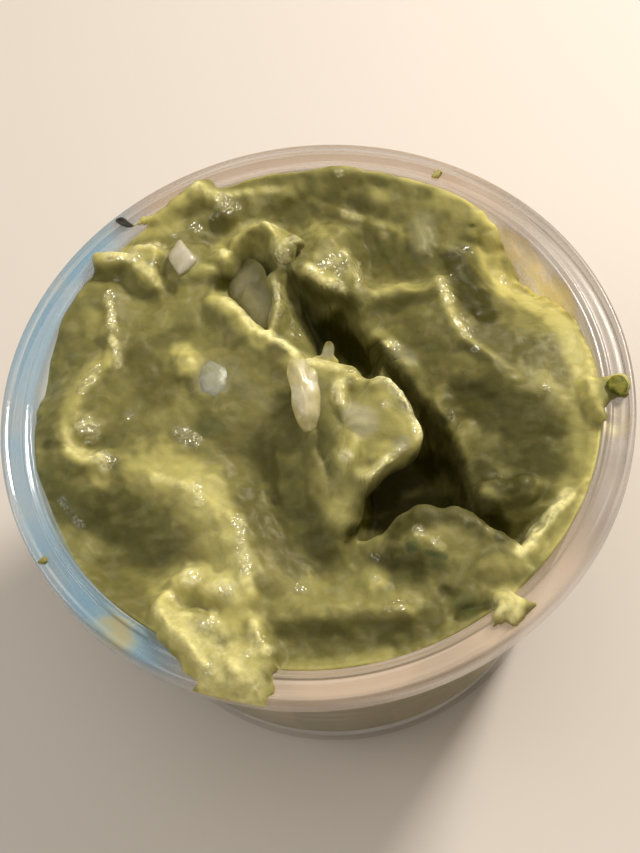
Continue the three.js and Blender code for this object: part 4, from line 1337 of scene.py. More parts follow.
SPILL_RIDGES = {
    "tongue ridge": Ridge(
        ((-20.9, -22.6, 1.2), (-20.1, -24.9, 2.3), (-18.9, -27.2, 2.6), (-17.6, -29.4, 2.5),
         (-16.4, -31.2, 1.9)), 1.2, 1.0, 2.6),
    "tongue right ridge": Ridge(
        ((-10.6, -26.4, 2.0), (-10.2, -28.6, 2.3), (-9.6, -30, 1.8)), 1.0, 1.6, 2.2),
    "tongue swell": Ridge(
        ((-15.2, -30.4, 2.1), (-13.4, -32.0, 2.0), (-12.4, -33.0, 1.6)), 1.8, 1.8, 1.8),
    "far peak": Ridge(
        ((-13, 30.6, 1.1), (-10.6, 31.4, 1.7), (-9.1, 32.2, 2.3), (-8.4, 31.0, 1.5)),
        1.1, 1.1, 2.2),
}

HOLLOWS = {
    "left hollow": Hollow(
        ((-10.2, 17.9), (-8.4, 15.8), (-6.8, 12.6), (-5.2, 10.4), (-3.4, 10.4), (-3.0, 14),
         (-3.1, 17.5), (-3.1, 20.5), (-4.2, 22.8), (-6, 22.2), (-8.4, 20.4)),
        floor=-2.3, edge=2.4, lean=0.4),
    "crevice slope": Hollow(
        ((-1.8, 18.4), (0.6, 18.4), (3.4, 16), (3.4, 12), (2.8, 8), (1.6, 4.6), (-1.1, 5),
         (-1.5, 9), (-1.7, 13)), floor=-4.5, edge=2.8),
    "channel": Hollow(
        ((-0.4, 18.0), (0.8, 18.2), (4.2, 15.0), (7.3, 12.6), (8.4, 9.2), (9.8, 5.4),
         (12.2, 1.0), (13.9, -2.6), (15.2, -6), (16.2, -10.2), (16.8, -14.4), (17.4, -17.2),
         (15, -17.2), (12.4, -16.9), (10, -16.2), (7.6, -16.9), (5.6, -18.6),
         (3.2, -18.8), (1.0, -17.8), (0.0, -15),
         (1.2, -9), (2.2, -3), (1.0, 1.6), (0.3, 5), (0.1, 9), (-0.1, 13)),
        floor=-13.0, edge=3.2, lean=0.5),
    "slot": Hollow(
        ((13.6, -16.2), (16.4, -16), (19, -16.6), (22.6, -16.6), (24.6, -17.6), (22.6, -20),
         (20.8, -22.2), (19.4, -23.2), (17.6, -20.8), (15.4, -18.2)),
        floor=-6.5, edge=2.4, lean=0.3),
    "front hole": Hollow(
        ((9.4, -25.2), (11.6, -25.6), (13, -27.2), (11, -27.8), (9.4, -26.8)),
        floor=-1.5, edge=1.5),
    "corner groove": Hollow(
        ((10.2, -29.6), (13, -29.5), (15.2, -28.9), (15.8, -27.6), (13, -27.7), (11, -28)),
        floor=-2.4, edge=1.2),
}

LOBES = {
    "chunk": Lobe(
        ((-1.2, 3.3, 4.2), (1, 3.2, 4.3), (3, 2.1, 4.4), (4.8, 1.6, 4.6), (5.7, 0.9, 4.5),
         (5.9, -0.6, 4.2), (6.4, -1.5, 4.3), (7.3, -0.8, 5.0), (8.3, -0.9, 5.2),
         (9.2, -2.2, 5.2), (10.2, -4.6, 4.8), (11.0, -6.6, 4.3), (11.5, -8.6, 3.8),
         (10.8, -9.8, 3.4), (9, -10.9, 3.0), (6.8, -11.8, 2.5), (4.6, -12.8, 1.9),
         (3.6, -13.9, 1.5), (3.1, -15.4, 1.0), (2.0, -17.4, 0.3), (0.3, -18.4, -0.4),
         (-1.1, -17, -1.2), (-1.7, -14, -1.2), (-1.6, -11, -0.6), (-1.2, -8, 0.4),
         (-0.6, -5, 2.0), (-1.2, -3, 2.9), (-1.3, 0, 3.7)),
        centre=(2.8, -6.4, 3.0), rise=0.7, drop=4.8, boxiness=4.5, rough=0.38,
        forms=(
            Ridge(((-0.6, 2.6, 5.2), (0.8, 2.3, 5.2), (2.2, 1.6, 5.2), (3.8, 0.7, 5.3),
                   (5.3, 0.2, 5.6)), 0.6, 1.2, 1.2),
            Lump((4.5, -0.3, 6.3), 1.0, 0.8, 1.2),
            Lump((5.2, -0.9, 6.0), 0.7, 0.7, 0.9),
            Lump((3.4, -0.6, 5.9), 0.8, 0.7, 0.9),
            Lump((2.9, -1.9, 5.7), 0.8, 0.9, 1.0),
            Lump((3.1, -3.4, 5.4), 0.8, 1.1, 1.0),
            Lump((0.6, 0.4, 4.7), 1.2, 2.4, 1.0),
            Ridge(((6.4, -2.2, 5.2), (7.4, -1.7, 6.1), (8.4, -1.9, 6.3), (9.1, -3.1, 6.2),
                   (9.9, -5.0, 5.9), (10.6, -6.7, 5.4), (11.1, -8.2, 4.9), (10.8, -9.2, 4.5)),
                  0.6, 1.5, 1.7),
            Ridge(((7.3, -3.6, 5.3), (8.2, -5.2, 5.3), (8.9, -6.8, 5.0)), 0.5, 0.9, 0.6),
            Lump((10.0, -8.4, 4.9), 1.1, 0.9, 0.9),
            Lump((8.8, -10.0, 4.3), 1.1, 0.7, 0.9),
            Lump((6.4, -11.3, 4.2), 0.9, 0.8, 1.0),
            Lump((4.9, -12.2, 4.0), 1.0, 0.8, 1.0),
            Lump((3.6, -12.2, 3.3), 0.8, 0.9, 0.9),
            Lump((2.6, -9.8, 4.7), 1.2, 1.0, 1.3),
            Lump((3.7, -8.4, 4.9), 0.9, 0.9, 1.0),
            Lump((4.2, -5.7, 4.8), 3.2, 2.8, 1.0, turn=0.5),
            Lump((0.5, -15.0, 2.5), 2.0, 3.0, 1.9),
            Lump((1.3, -11.6, 2.7), 1.9, 2.4, 1.6),
        )),
    "pale fin": Lobe(
        ((0.5, 2.8, 3.4), (0.9, 3.7, 3.7), (1.7, 3.8, 3.8), (2.2, 4.5, 4.1), (2.6, 5.1, 4.3),
         (3.1, 4.8, 4.2), (3.0, 3.7, 3.8), (3.4, 2.7, 3.5), (2, 2.2, 3.4)),
        centre=(2.2, 3.2, 3.6), rise=0.4, drop=1.6, rough=0.05),
    "curled tip": Lobe(
        ((-1.4, 19.4, 2.8), (-0.8, 21.2, 3), (0.8, 21.2, 3), (1.9, 20.2, 2.6), (0.9, 19.9, 2.8),
         (0.4, 18.8, 2.6), (-0.8, 18.2, 2.4)), centre=(0.4, 20.2, 2.9), rise=0.5, drop=1.0,
        rough=0.35),
}


# Strokes are laid on a plane LAID_AT above the rim and carried to the mash along parallel lines
# that run LAID_LEAN to the back for each millimetre down. They fade away from FADE_FROM down,
# within FADE_DEPTH.
LAID_AT = 2.0
LAID_LEAN = math.tan(math.radians(29.06))
FADE_FROM = -15.0
FADE_DEPTH = 5.0


@dataclass(frozen=True)
class Stroke:
    """A soft brush stroke through places (x, y), or a dab on one place."""

    places: tuple[Point, ...]
    width: float
    strength: float

    def share(self, x: np.ndarray, y: np.ndarray, wobble: np.ndarray) -> np.ndarray:
        """Its strength within a third of its width of the line, falling to nothing at its width.

        Args:
            x, y: the places to paint.
            wobble: what makes the edge ragged.

        Returns:
            How much paint lies on each place.
        """
        if len(self.places) == 1:
            distance = np.hypot(x - self.places[0][0], y - self.places[0][1])
        else:
            distance, _, _ = along_line(x, y, smooth_curve(self.places, closed=False))
        return self.strength * smooth_step(1.5 - 1.5 * distance / self.width + wobble)


def strokes(*rows: tuple) -> tuple[Stroke, ...]:
    """Strokes from rows of a width, a strength and then the places."""
    return tuple(Stroke(tuple(places), width, strength) for width, strength, *places in rows)


def painted(points: np.ndarray, laid: Sequence[Stroke]) -> np.ndarray:
    """The strongest of some strokes at each point.

    Args:
        points: one row for each point.
        laid: the strokes.

    Returns:
        How much paint lies on each point.
    """
    x = points[:, 0]
    y = points[:, 1] + LAID_LEAN * (points[:, 2] - LAID_AT)
    wobble = 0.45 * NOISE.rough(points + 9.0, 2.4, 3)
    share = np.zeros(len(points))
    for stroke in laid:
        share = np.maximum(share, stroke.share(x, y, wobble))
    return share * smooth_step((points[:, 2] - FADE_FROM + FADE_DEPTH) / FADE_DEPTH)


# Partly painted light: golden strokes where the mash is lit or glows through thin edges, on its own
# golden tone.
YELLOW_AND_GLOW_STROKES = strokes(
    # upper left
    (2.0, 0.8, (-22.6, 24.2), (-19.5, 23.4), (-16, 24)), (1.5, 0.8, (-18, 21.6), (-16.6, 19.2)),
    (3.0, 0.7, (-18, 28.2), (-14.8, 27.6)), (1.8, 0.6, (-12, 30.4), (-9.4, 31.4), (-8, 30)),
    (1.0, 0.25, (-6.4, 30.1), (-3, 30), (1.2, 29.6)), (2.0, 1.0, (-7.9, 21.8)),
    (1.5, 0.3, (-12.2, 19.8), (-9.8, 19.4)),
    (1.7, 0.5, (-6.8, 22.8), (-5.2, 24.6), (-2.8, 24.7), (-1.2, 23.2), (-1, 21.4)),
    (2.0, 0.65, (-9.2, 15.2), (-8.2, 14), (-6.8, 12.2), (-5.6, 10.2), (-4.6, 8.6)),
    (2.0, 0.9, (-14.2, 8.8), (-13.8, 6.6)), (1.0, 0.12, (-14, 15.6), (-16, 13), (-18.4, 11.4)),
    (1.5, 0.35, (-24.6, 16.4), (-24.4, 13.8)),
    (1.8, 0.6, (-23.4, 9.4), (-26.4, 7), (-28, 4), (-28.6, 1.4)),
    (1.7, 0.8, (-28.8, 1), (-28.2, -2), (-26.4, -3.8), (-25.8, -6.2)),
    # lower left
    (4.6, 0.85, (-19.4, -5.8), (-17.2, -7.2), (-15, -10.6), (-13.4, -14), (-12.6, -19), (-13, -25)),
    (2.6, 0.85, (-18.4, -20), (-15, -21.4), (-12, -22.6)),
    (3.8, 1.0, (-19, -22), (-19.6, -25), (-17.4, -30), (-15.6, -33), (-14.4, -36)),
    (3.4, 1.0, (-12.6, -30.6), (-12, -36.6)), (1.8, 0.7, (-10.4, -27), (-10.8, -30)),
    (2.8, 0.3, (-9.8, -17.4), (-7, -21), (-4, -24.6)),
    # front
    (2.0, 0.2, (-9.6, -26.6), (-4, -26.6), (1, -27), (6.4, -28.4)), (2.0, 0.5, (3.4, -24.4)),
    (2.0, 0.2, (3.6, -28.4), (7, -28)), (1.2, 0.4, (-8, -33.4), (-2, -34), (3, -33.6)),
    (3.0, 1.0, (17, -30.4)),
    (1.9, 0.55, (16, -25.8), (19.4, -25), (22, -24.4), (25, -22), (28.6, -18)),
    # right
    (2.4, 0.85, (25.6, 10), (27.6, 8.2), (29.6, 5.8), (30.8, 2.6), (31.4, -1.4), (31.4, -5)),
    (2.2, 0.35, (29, -5.6), (29.6, -10), (28.6, -15), (26.6, -18)),
    (1.6, 0.7, (31.4, -8), (31.2, -12), (29.8, -16), (27.6, -19.8)),
    (2.2, 1.0, (24.2, 20.6), (24.1, 17), (24.6, 13.3), (25.6, 10)),
    (1.6, 0.55, (8, 32.8), (12, 31), (17, 28.2), (21, 25), (24.4, 21.4)),
    (2.4, 0.45, (19, 24), (22.6, 21.6)),
    (1.2, 0.4, (17.3, 12.4), (17.4, 9.6), (18, 6.6), (19, 4.4)),
    (0.7, 0.25, (19.4, 3.4), (20.4, 2.4), (22.2, -0.1), (23.9, -3)),
    (1.1, 0.4, (9.4, 12.3), (11.4, 12.8), (15, 11.9)), (1.3, 0.5, (9, 6.6), (10.6, 4.2)),
    (2.2, 0.55, (-5.4, 22.6), (-3.6, 21.6)), (2.6, 0.5, (5, -1.6), (7, -3.6)),
    (3.0, 0.2, (9.6, -20.4), (13, -22)), (1.6, 0.1, (13, -2.4), (15.4, -7)),
    (1.5, 0.4, (26.4, -3), (28.4, -5)), (2.2, 0.25, (19, -14.6), (20.4, -13)),
    (1.6, 0.6, (31.4, -3.6), (34, -3.8), (36, -4.6)),
    # back
    (1.6, 0.8, (2.2, 16.8), (4, 15)), (2.2, 0.2, (3.4, 17.6), (6, 18.6), (7.2, 15.4)),
    (1.3, 0.45, (3.2, 24), (4.2, 22)), (0.9, 0.5, (3.9, 27.4), (6, 25.4), (9.5, 23.5), (13.6, 21)),
    (1.8, 0.5, (12.2, 26.2)),
    # middle
    (2.4, 0.7, (-1.4, 4.2), (2.6, 3), (5, 1.6), (3, -0.8)),
    (2.4, 0.9, (8, 0.4), (9.4, -3.4), (10.6, -7)), (3.0, 0.65, (8.6, -5.6), (5.8, -8)),
    (2.2, 0.55, (4, -5), (2.6, -8.8)),
    (1.8, 0.7, (2.6, -9), (4.6, -11.2), (7, -10.4), (9.6, -8.8)), (3.0, 0.35, (0.2, -15.4)),
)

# Partly painted highlight: pale strokes on crests, lips, knobs and glinting places, where the mash
# is also thin and paler.
CREAM_AND_HIGHLIGHT_STROKES = strokes(
    # upper left
    (0.9, 0.7, (-21.8, 23.8), (-19.6, 23.2), (-18, 22.8)),
    (0.8, 0.55, (-18.8, 24.4), (-16, 24.5), (-15, 24.1)),
    (0.9, 0.9, (-18, 22), (-16.8, 20.6), (-16.5, 19)),
    (0.9, 0.8, (-9.8, 32.2), (-8.8, 30.8), (-7.4, 29.8)), (0.6, 0.4, (-6, 30.1), (-3.2, 30)),
    (0.6, 0.35, (-1.4, 30), (1, 29.7)), (0.8, 0.6, (-5.2, 25.5), (-3, 25.6), (-1.2, 23.8)),
    (1.3, 0.7, (-1.3, 21.4), (-0.8, 19.4), (-0.2, 18)), (0.7, 0.8, (-0.5, 21.2), (1.2, 21.5)),
    (0.7, 0.2, (-2.4, 17), (-2, 15), (-2.2, 13), (-2.7, 10.6)),
    (0.9, 0.95, (-4.4, 9.4), (-3, 8.1), (-1.2, 5.8)),
    (0.9, 0.75, (-8.4, 14.8), (-6.9, 13.2), (-5.6, 10.5)), (0.9, 0.8, (-13.6, 7.2)),
    (0.6, 0.6, (-22.2, 18.8), (-22.1, 14)), (0.7, 0.9, (-22.4, 12.2), (-21.8, 10.6), (-22.1, 8.6)),
    (1.0, 0.85, (-28.8, 0.8), (-28.2, -1.8), (-26.6, -3.2), (-25, -3.6), (-25.2, -5)),
    (1.6, 0.6, (-26.6, 1.6), (-26, -0.4)),
    # lower left
    (0.9, 0.9, (-19.4, -7.2), (-16.8, -8.6), (-15.2, -9.8)),
    (1.0, 0.8, (-15, -9.4), (-14.8, -11.6)),
    (1.1, 0.85, (-10.7, -14.4), (-10.6, -17), (-10.9, -20.4), (-10.7, -22.4)),
    (1.9, 1.0, (-16.8, -20.4)), (2.4, 1.0, (-13.3, -22.5)),
    (3.6, 0.9, (-17.6, -27), (-14.6, -30.5), (-12.6, -34)),
    (0.9, 0.9, (-19.6, -22), (-18.6, -23.6)),
    (1.3, 0.9, (-20.6, -23.6), (-19, -26), (-17.2, -29.6)),
    (1.0, 0.9, (-16.2, -26.4), (-15, -26.8)), (0.8, 0.8, (-14.9, -25), (-14.6, -27)),
    (1.3, 1.0, (-16.2, -31.8)), (1.0, 0.7, (-10.6, -27), (-10.9, -29.4)),
    (0.8, 0.9, (-12.6, -30.6), (-9.4, -30.6)),
    (3.0, 1.0, (-15.6, -32.8), (-12.4, -33.4), (-12.6, -36)),
    # front
    (1.1, 0.6, (3.3, -24.5)), (2.4, 1.0, (16.9, -30.5)), (0.8, 0.6, (8.8, -19.4)),
    (0.6, 0.6, (10.4, -21), (11.2, -22)), (1.0, 1.0, (19.6, -24.4), (22.8, -21.4), (26.5, -18.2)),
    # right
    (1.0, 1.0, (25.4, 11.6)), (1.2, 0.35, (24.4, 19), (24.5, 15.4), (25.0, 12), (26, 10)),
    (3.4, 0.3, (-15, -10), (-13, -15), (-12.4, -20)),
    (1.2, 0.25, (27.6, 8.4), (29.6, 6.2), (30.8, 3.4), (31.5, -0.6), (31.6, -3.6)),
    (1.0, 0.8, (-7.9, 21.6)), (0.6, 0.3, (17.2, 12.6), (17.3, 10), (17.8, 8)),
    (0.5, 0.4, (18, 6.8), (19, 4)), (0.8, 0.6, (9.8, 5.2), (10.6, 4.4)),
    (0.5, 0.6, (31.8, -4.4), (31.9, -6)),
    # back
    (1.0, 0.9, (2.1, 17.2), (2.8, 15.8), (4.4, 14.4)),
    (0.9, 0.7, (4.4, 17.4), (6, 18), (6.8, 18.8)), (0.9, 0.8, (5, 14.4), (5.6, 13.6)),
    (0.6, 0.8, (8, 17), (7.4, 13.8)), (0.7, 0.6, (7.7, 24.5), (9.5, 23.5)),
    (0.7, 0.5, (7.8, 30.2)),
    # middle
    (0.9, 0.8, (-1.6, 4.4), (0.4, 4.2), (3.4, 2.8)), (1.1, 0.8, (3, 0.6), (2.8, -1.4)),
    (1.1, 0.95, (7.4, 0.6), (8.4, 0.4), (9.2, -1.2), (10, -3.4), (10.9, -5.6), (11.3, -7.6)),
    (0.8, 0.7, (8, -3)), (1.1, 0.9, (2.5, -8.6)),
    (0.9, 0.65, (3.6, -11.1), (4.9, -11.3), (6.4, -10.3), (8.8, -9)),
)

PALE_STROKES = strokes(
    (2.0, 0.2, (16.8, 21.4), (15.8, 17.8)), (2.2, 0.6, (4.2, -3.4), (5, -5)),
    (1.4, 0.5, (9, -8.4)), (2.2, 0.45, (-5.2, 18), (-4.8, 12.4)), (2.8, 0.35, (-11.4, 4.4)),
    (1.4, 0.5, (2.4, 5.0)), (1.6, 0.7, (-0.6, 2.4), (-0.6, -2)), (1.8, 0.15, (-8.6, 4), (-7, 1.6)),
    (2.4, 0.4, (-12.6, 22)), (1.2, 0.3, (11, 3.8), (12.2, 2.4)),
)

# Painted shade: strokes that darken where shade falls, in the channel and the hole, in hollows,
# grooves and gullies, on slopes turned from the key lamp and in shadows cast by ridges and the
# chunk.
PAINTED_SHADE_STROKES = strokes(
    (3.6, 1.0, (5, -16), (9, -13.6), (13, -11.4)), (2.6, 1.0, (3.6, 9), (5.4, 6), (8, 2)),
    (2.3, 0.95, (8.4, 4.4), (10.6, -1.6), (13, -6.6), (14.6, -12), (16, -15.6)),
    (1.5, 0.7, (1.6, 15.2), (4, 13), (6.6, 11.2)),
    (2.2, 0.95, (15.8, -16.8), (17.6, -18.6), (18.4, -21.4)),
    (2.2, 0.6, (20, -18.6), (23.4, -17.6)), (4.6, 0.25, (12, 8), (15, 3), (18, -3)),
    (5.8, 0.72, (19, -4), (24, -9), (23, -13)), (2.6, 0.6, (20.6, 8), (23, 4), (26, 0)),
    (1.6, 0.4, (28, 1), (29, -4)), (2.9, 1.0, (19.8, 15), (20.6, 10.6), (22, 6.6)),
    (1.6, 0.45, (22.6, 8.6), (24.4, 6.4)), (1.5, 0.6, (20.2, 4.8), (21.8, 2.4), (23.6, 0)),
    (1.3, 0.6, (18.4, 3), (21.4, -0.6)),
    (2.4, 0.85, (6.6, -18.8), (9.6, -17.4), (12, -17.6), (13.4, -18.3), (16, -20)),
    (2.2, 0.9, (17.4, -13.6), (19.6, -15.8), (22.4, -15.4)),
    (1.4, 1.0, (1.6, -18.2), (4.6, -18.6)), (3.6, 0.55, (9, 19), (13, 16.6), (18, 15)),
    (2.8, 0.62, (5, 26), (8, 25.2), (11, 24.2)), (1.0, 0.6, (5.6, 25.2), (9, 22.6), (13, 20.4)),
    (3.0, 0.35, (0, 27), (2.4, 26)), (2.2, 0.45, (-8.4, 26), (-6.6, 26.4)),
    (1.6, 0.4, (-9.2, 24.4)), (1.4, 0.2, (-4.6, 21.4)),
    (4.0, 0.6, (-6, -8), (-4.6, -14), (-2.8, -19)), (2.2, 0.5, (-3.4, 0), (-3.4, -6)),
    (2.0, 0.95, (-8.6, 17.6)), (0.9, 0.5, (-7.6, 16.2), (-6.4, 14)),
    (2.8, 0.45, (-12.4, -1.6), (-9, -4.6), (-5.6, -6.4)),
    (4.0, 0.35, (-26, -11), (-22, -15), (-18.6, -17.2)),
    (2.8, 0.55, (-9.2, -12), (-7.8, -17), (-5, -21)),
    (1.6, 0.5, (-26.6, -17), (-22, -18), (-18.8, -17.8)), (3.2, 0.25, (-27, -19), (-23.6, -22.6)),
    (0.9, 0.55, (-31.4, -0.6), (-30, -0.9), (-29.2, -1)), (3.4, 0.55, (-19.6, 9), (-17.8, 4)),
    (1.6, 0.3, (-17.2, 10.4), (-13, 11.6)),
    (1.5, 0.45, (-7.6, -29), (-3, -29.6), (3, -30.6), (9, -31)),
    (1.6, 0.4, (-4, -31.6), (2, -32.2), (8, -31.6)), (0.9, 0.7, (10.4, -27.4), (11.8, -27.9)),
    (0.9, 0.8, (11.5, -30.8), (15.4, -30)), (2.8, 0.85, (5.8, -22.4), (8, -23.4)),
    (2.0, 0.4, (14, -12), (18, -14.6), (21, -16)), (2.4, 0.4, (13, -28), (8.6, -30)),
    (1.6, 0.4, (15, -26.6), (17.6, -27.4)), (1.4, 0.35, (12, -17), (15.6, -18.6), (17.4, -21.8)),
    (1.5, 0.5, (-23.6, 22.4)), (1.7, 0.45, (-0.8, -5.6), (-1.8, -8.6)),
    (1.2, 0.3, (-9.8, -25.2), (-8, -27.8)),
)

LEAFY_STROKES = strokes(
    (1.3, 0.7, (7.8, -21.4)), (1.4, 0.5, (10.4, -23.8)), (0.6, 0.8, (9.4, -22.4), (11.2, -23.4)),
    (1.8, 0.4, (12.6, -29.4)), (1.3, 0.3, (-0.2, 13.4), (0.6, 9)), (1.6, 0.4, (1.8, 8)),
    (2.2, 0.4, (-12, -1.8)), (1.4, 0.3, (-23.6, -1.8)), (1.3, 0.3, (-17, -23.4)),
    (0.8, 0.5, (20.4, 12.2)), (1.8, 0.15, (-22.6, 18.4), (-26, 17)), (0.35, 0.9, (22.5, 19.5)),
    (0.3, 0.9, (7.5, 10.9)), (0.25, 0.9, (7, 15.4)), (0.3, 0.8, (-0.4, 25.2)),
)

WET_STROKES = strokes(
    (1.2, 1.0, (-21, 23.8), (-18.4, 23.2)), (0.9, 0.9, (-16.6, 24.6), (-15.2, 24)),
    (1.1, 1.0, (-16.2, 21.8)), (0.8, 0.9, (-16.6, 19.6)), (0.8, 0.7, (-21, 20.6)),
    (1.5, 1.0, (-7, 29.2), (-6, 28)), (0.8, 0.9, (-8.4, 27.2)), (1.1, 0.9, (-10.8, 26)),
    (1.2, 1.0, (-0.9, 20), (-0.4, 18.6)), (0.9, 0.9, (0.4, 21.1)),
    (0.7, 1.0, (-2.1, 16), (-2.2, 11.4)), (0.9, 0.6, (-1.2, 12), (-0.6, 8)),
    (0.9, 1.0, (1.8, 16.6), (3.4, 16.8), (5, 18)), (0.9, 1.0, (5.6, 16), (6.6, 18.6)),
    (0.9, 1.0, (3.6, 14.6), (5.4, 14)), (0.6, 0.9, (8, 17.4), (7.4, 14)), (1.5, 1.0, (4.8, 1.7)),
    (0.9, 0.9, (3, 0.8), (2.8, -1.4)), (1.0, 0.95, (8.6, 0), (10.4, -3.6), (11.4, -7.6)),
    (0.7, 0.9, (8, -3)), (0.9, 0.8, (2.5, -8.6)),
    (0.8, 0.8, (4.8, -11.2), (6.4, -10.3), (9, -8.8)), (0.8, 0.8, (-0.5, 1.6), (-0.4, 0.2)),
    (0.8, 1.0, (17.3, 12), (17.6, 9)), (1.2, 0.9, (18.8, 12.2)),
    (0.9, 0.9, (18.3, 7), (19.1, 4.3)), (0.7, 0.9, (19.4, 2.2)), (1.0, 1.0, (25.4, 11.5)),
    (0.8, 0.8, (21.6, 16.2)), (0.9, 1.0, (10.3, 4.6)), (0.8, 0.6, (15, -5), (16, -7.6)),
    (0.7, 1.0, (-22.1, 18.8), (-22.1, 13.6)), (0.6, 0.8, (-22.2, 11.4), (-21.9, 9)),
    (0.9, 0.9, (-24.4, 8.6), (-26.6, 5.8)), (1.8, 1.0, (-26.6, 1.4), (-26, -0.4)),
    (1.3, 1.0, (-25.4, -3.2), (-24.6, -4.4)), (0.9, 0.7, (-21.4, 1.4)),
    (1.6, 0.8, (-15.8, -2), (-14.6, -3.4)), (0.8, 0.9, (-14.8, -9.2), (-14.8, -11.4)),
    (1.0, 1.0, (-10.8, -14.4), (-10.8, -20.6)), (1.2, 1.0, (-16.6, -20.6)),
    (1.4, 0.9, (-13, -22.6)), (0.8, 0.9, (-19.2, -22.8)), (0.9, 0.8, (-16.4, -26.6), (-14.8, -26)),
    (1.0, 0.8, (-16.2, -31.8)), (0.9, 0.9, (-10.2, -29), (-11.8, -30.6)),
    (0.8, 0.8, (-11.4, -34.6)), (0.9, 0.6, (-5, -24.2)), (0.9, 0.9, (8.8, -19.4)),
    (0.8, 0.8, (10.6, -21.2)), (0.6, 0.7, (3.8, -22)), (0.8, 0.7, (3.3, -24.5)),
    (0.8, 0.8, (4.2, -28), (5.6, -28)), (0.5, 0.8, (16.8, -20.8)), (0.9, 0.8, (26.6, -4.4)),
    (0.7, 0.9, (-13.4, 25.4)), (0.6, 0.8, (-7.4, 21.8)), (0.7, 0.7, (7.8, 30.2)),
    (0.9, 0.9, (-30.6, -8), (-29, -11.6)),
)


# ------------------------------------------------------------------ the guacamole

@dataclass
class Guacamole:
    """The heaped mash: one solid down to the cup's floor, whose top holds every fold and hollow.

    The disc that it is cut from has cells by cells faces on top, reaches out to reach and down
    to cut_depth, and is sunk to base_of_rim past the wall. Relaxing pulls each vertex by the
    share pull, softening times on the joints and flattening times to find crests and dents,
    which begin where the surface stands slight off the flattened one and are full at marked
    more. Vertices closer to the wall than wall_margin, or below still_below, stay in place.
    """

    cup: Cup
    cells: int = 272
    reach: float = 38.4
    headroom: float = 15.0
    cut_depth: float = 45.0
    plate_slack: float = 3.0
    base_of_rim: float = -2.0
    into_wall: float = 0.12
    room_segments: int = 192
    lump_blend: float = 0.5
    spill_blend: float = 0.25
    spill_ridge_blend: float = 0.3
    wall_margin: float = 1.4
    still_below: float = -30.0
    pull: float = 0.6
    softening: int = 7
    flattening: int = 10
    slight: float = 0.02
    marked: float = 0.2

    def level(self, x: np.ndarray, y: np.ndarray) -> np.ndarray:
        """Height of a thin plate bent over every level mark.

        The plate's height is a tilted plane plus, for each mark, a load times half of r squared
        times the logarithm of r squared, with the loads solved so that it passes close to the
        marks, and less close the larger plate_slack is.

        Args:
            x, y: the places.

        Returns:
            The height at each place.
        """
        marks = np.array(LEVEL_MARKS, float)

        def bend(dx: np.ndarray, dy: np.ndarray) -> np.ndarray:
            """Half of r squared times the logarithm of r squared."""
            squared = dx * dx + dy * dy
            return 0.5 * squared * np.log(np.maximum(squared, TINY))

        u, v, height = marks.T
        loads = bend(u[:, None] - u, v[:, None] - v) + self.plate_slack * np.eye(len(marks))
        plane = np.stack([np.ones_like(u), u, v], axis=1)
        system = np.block([[loads, plane], [plane.T, np.zeros((3, 3))]])
        answer = np.linalg.solve(system, np.r_[height, 0, 0, 0])
        plate = answer[-3] + answer[-2] * x + answer[-1] * y
        for (mark_x, mark_y, _), load in zip(marks, answer):
            plate = plate + load * bend(x - mark_x, y - mark_y)
        return plate

    def top(self, x: np.ndarray, y: np.ndarray) -> tuple[np.ndarray, ...]:
        """The top surface over the places (x, y).

        Args:
            x, y: the places.

        Returns:
            Its height, and how far each point leans in x and in y over a hollow's edge.
        """
        flat = np.column_stack([x.ravel(), y.ravel(), np.zeros(x.size)])

        def ripple(place: float, broad: Point, fine: Point) -> np.ndarray:
            """Broad and fine noise, each given by its height and size, read at one place."""
            at = flat + place
            total = broad[0] * NOISE.smooth(at, broad[1]) + fine[0] * NOISE.smooth(at, fine[1])
            return total.reshape(x.shape)

        px = x + ripple(0, (0.42, 3.4), (0.28, 1.3))
        py = y + ripple(40, (0.42, 3.4), (0.28, 1.3))
        wave = ripple(80, (0.35, 2.1), (0.2, 1.0))
        z = self.level(px, py)
        for slab in SLABS.values():
            inside, _, _ = inside_outline(px, py, smooth_curve(slab.outline, closed=True))
            rise = slab.lift if slab.top is None else np.maximum(slab.top - z, 0)
            z = z + smooth_step(inside / slab.edge + 0.5) * rise
        for ridge in RIDGES.values():
            z = smooth_max(z, ridge.height(px, py) + wave, ridge.blend)
        for lump in LUMPS.values():
            z = smooth_max(z, lump.height(px, py) + wave, self.lump_blend)
        z = np.where(np.hypot(x, y) > self.cup.inner(0) - 0.05, self.base_of_rim, z)
        for spill in SPILLS.values():
            inside, _, _ = inside_outline(px, py, smooth_curve(spill.outline, closed=True))
            bulge = np.sqrt(1 - np.clip(1 - inside / spill.edge, 0, 1) ** 2)
            cushion = bulge * (spill.top + 0.5) - 0.5
            z = np.where(inside > 0, smooth_max(z, cushion, self.spill_blend), z)
        for ridge in SPILL_RIDGES.values():
            z = smooth_max(z, ridge.height(px, py) + wave, self.spill_ridge_blend)
        return self.hollowed(px, py, z)

    def hollowed(self, x: np.ndarray, y: np.ndarray, z: np.ndarray) -> tuple[np.ndarray, ...]:
        """The top surface once the hollows are sunk into it, each with a lip that leans over it.

        Args:
            x, y: the places.
            z: the top's height without hollows.

        Returns:
            The height, and how far each point leans in x and in y.
        """
        lean_x, lean_y = np.zeros(x.shape), np.zeros(x.shape)
        for hollow in HOLLOWS.values():
            outline = smooth_curve(hollow.outline, closed=True)
            inside, way_x, way_y = inside_outline(x, y, outline)
            z = z + smooth_step(inside / hollow.edge) * np.minimum(hollow.floor - z, 0)
            lip = smooth_step(1 + inside / 2) * (1 - smooth_step(inside / (0.6 * hollow.edge)))
            lean_x += hollow.lean * lip * way_x
            lean_y += hollow.lean * lip * way_y
        return z, lean_x, lean_y

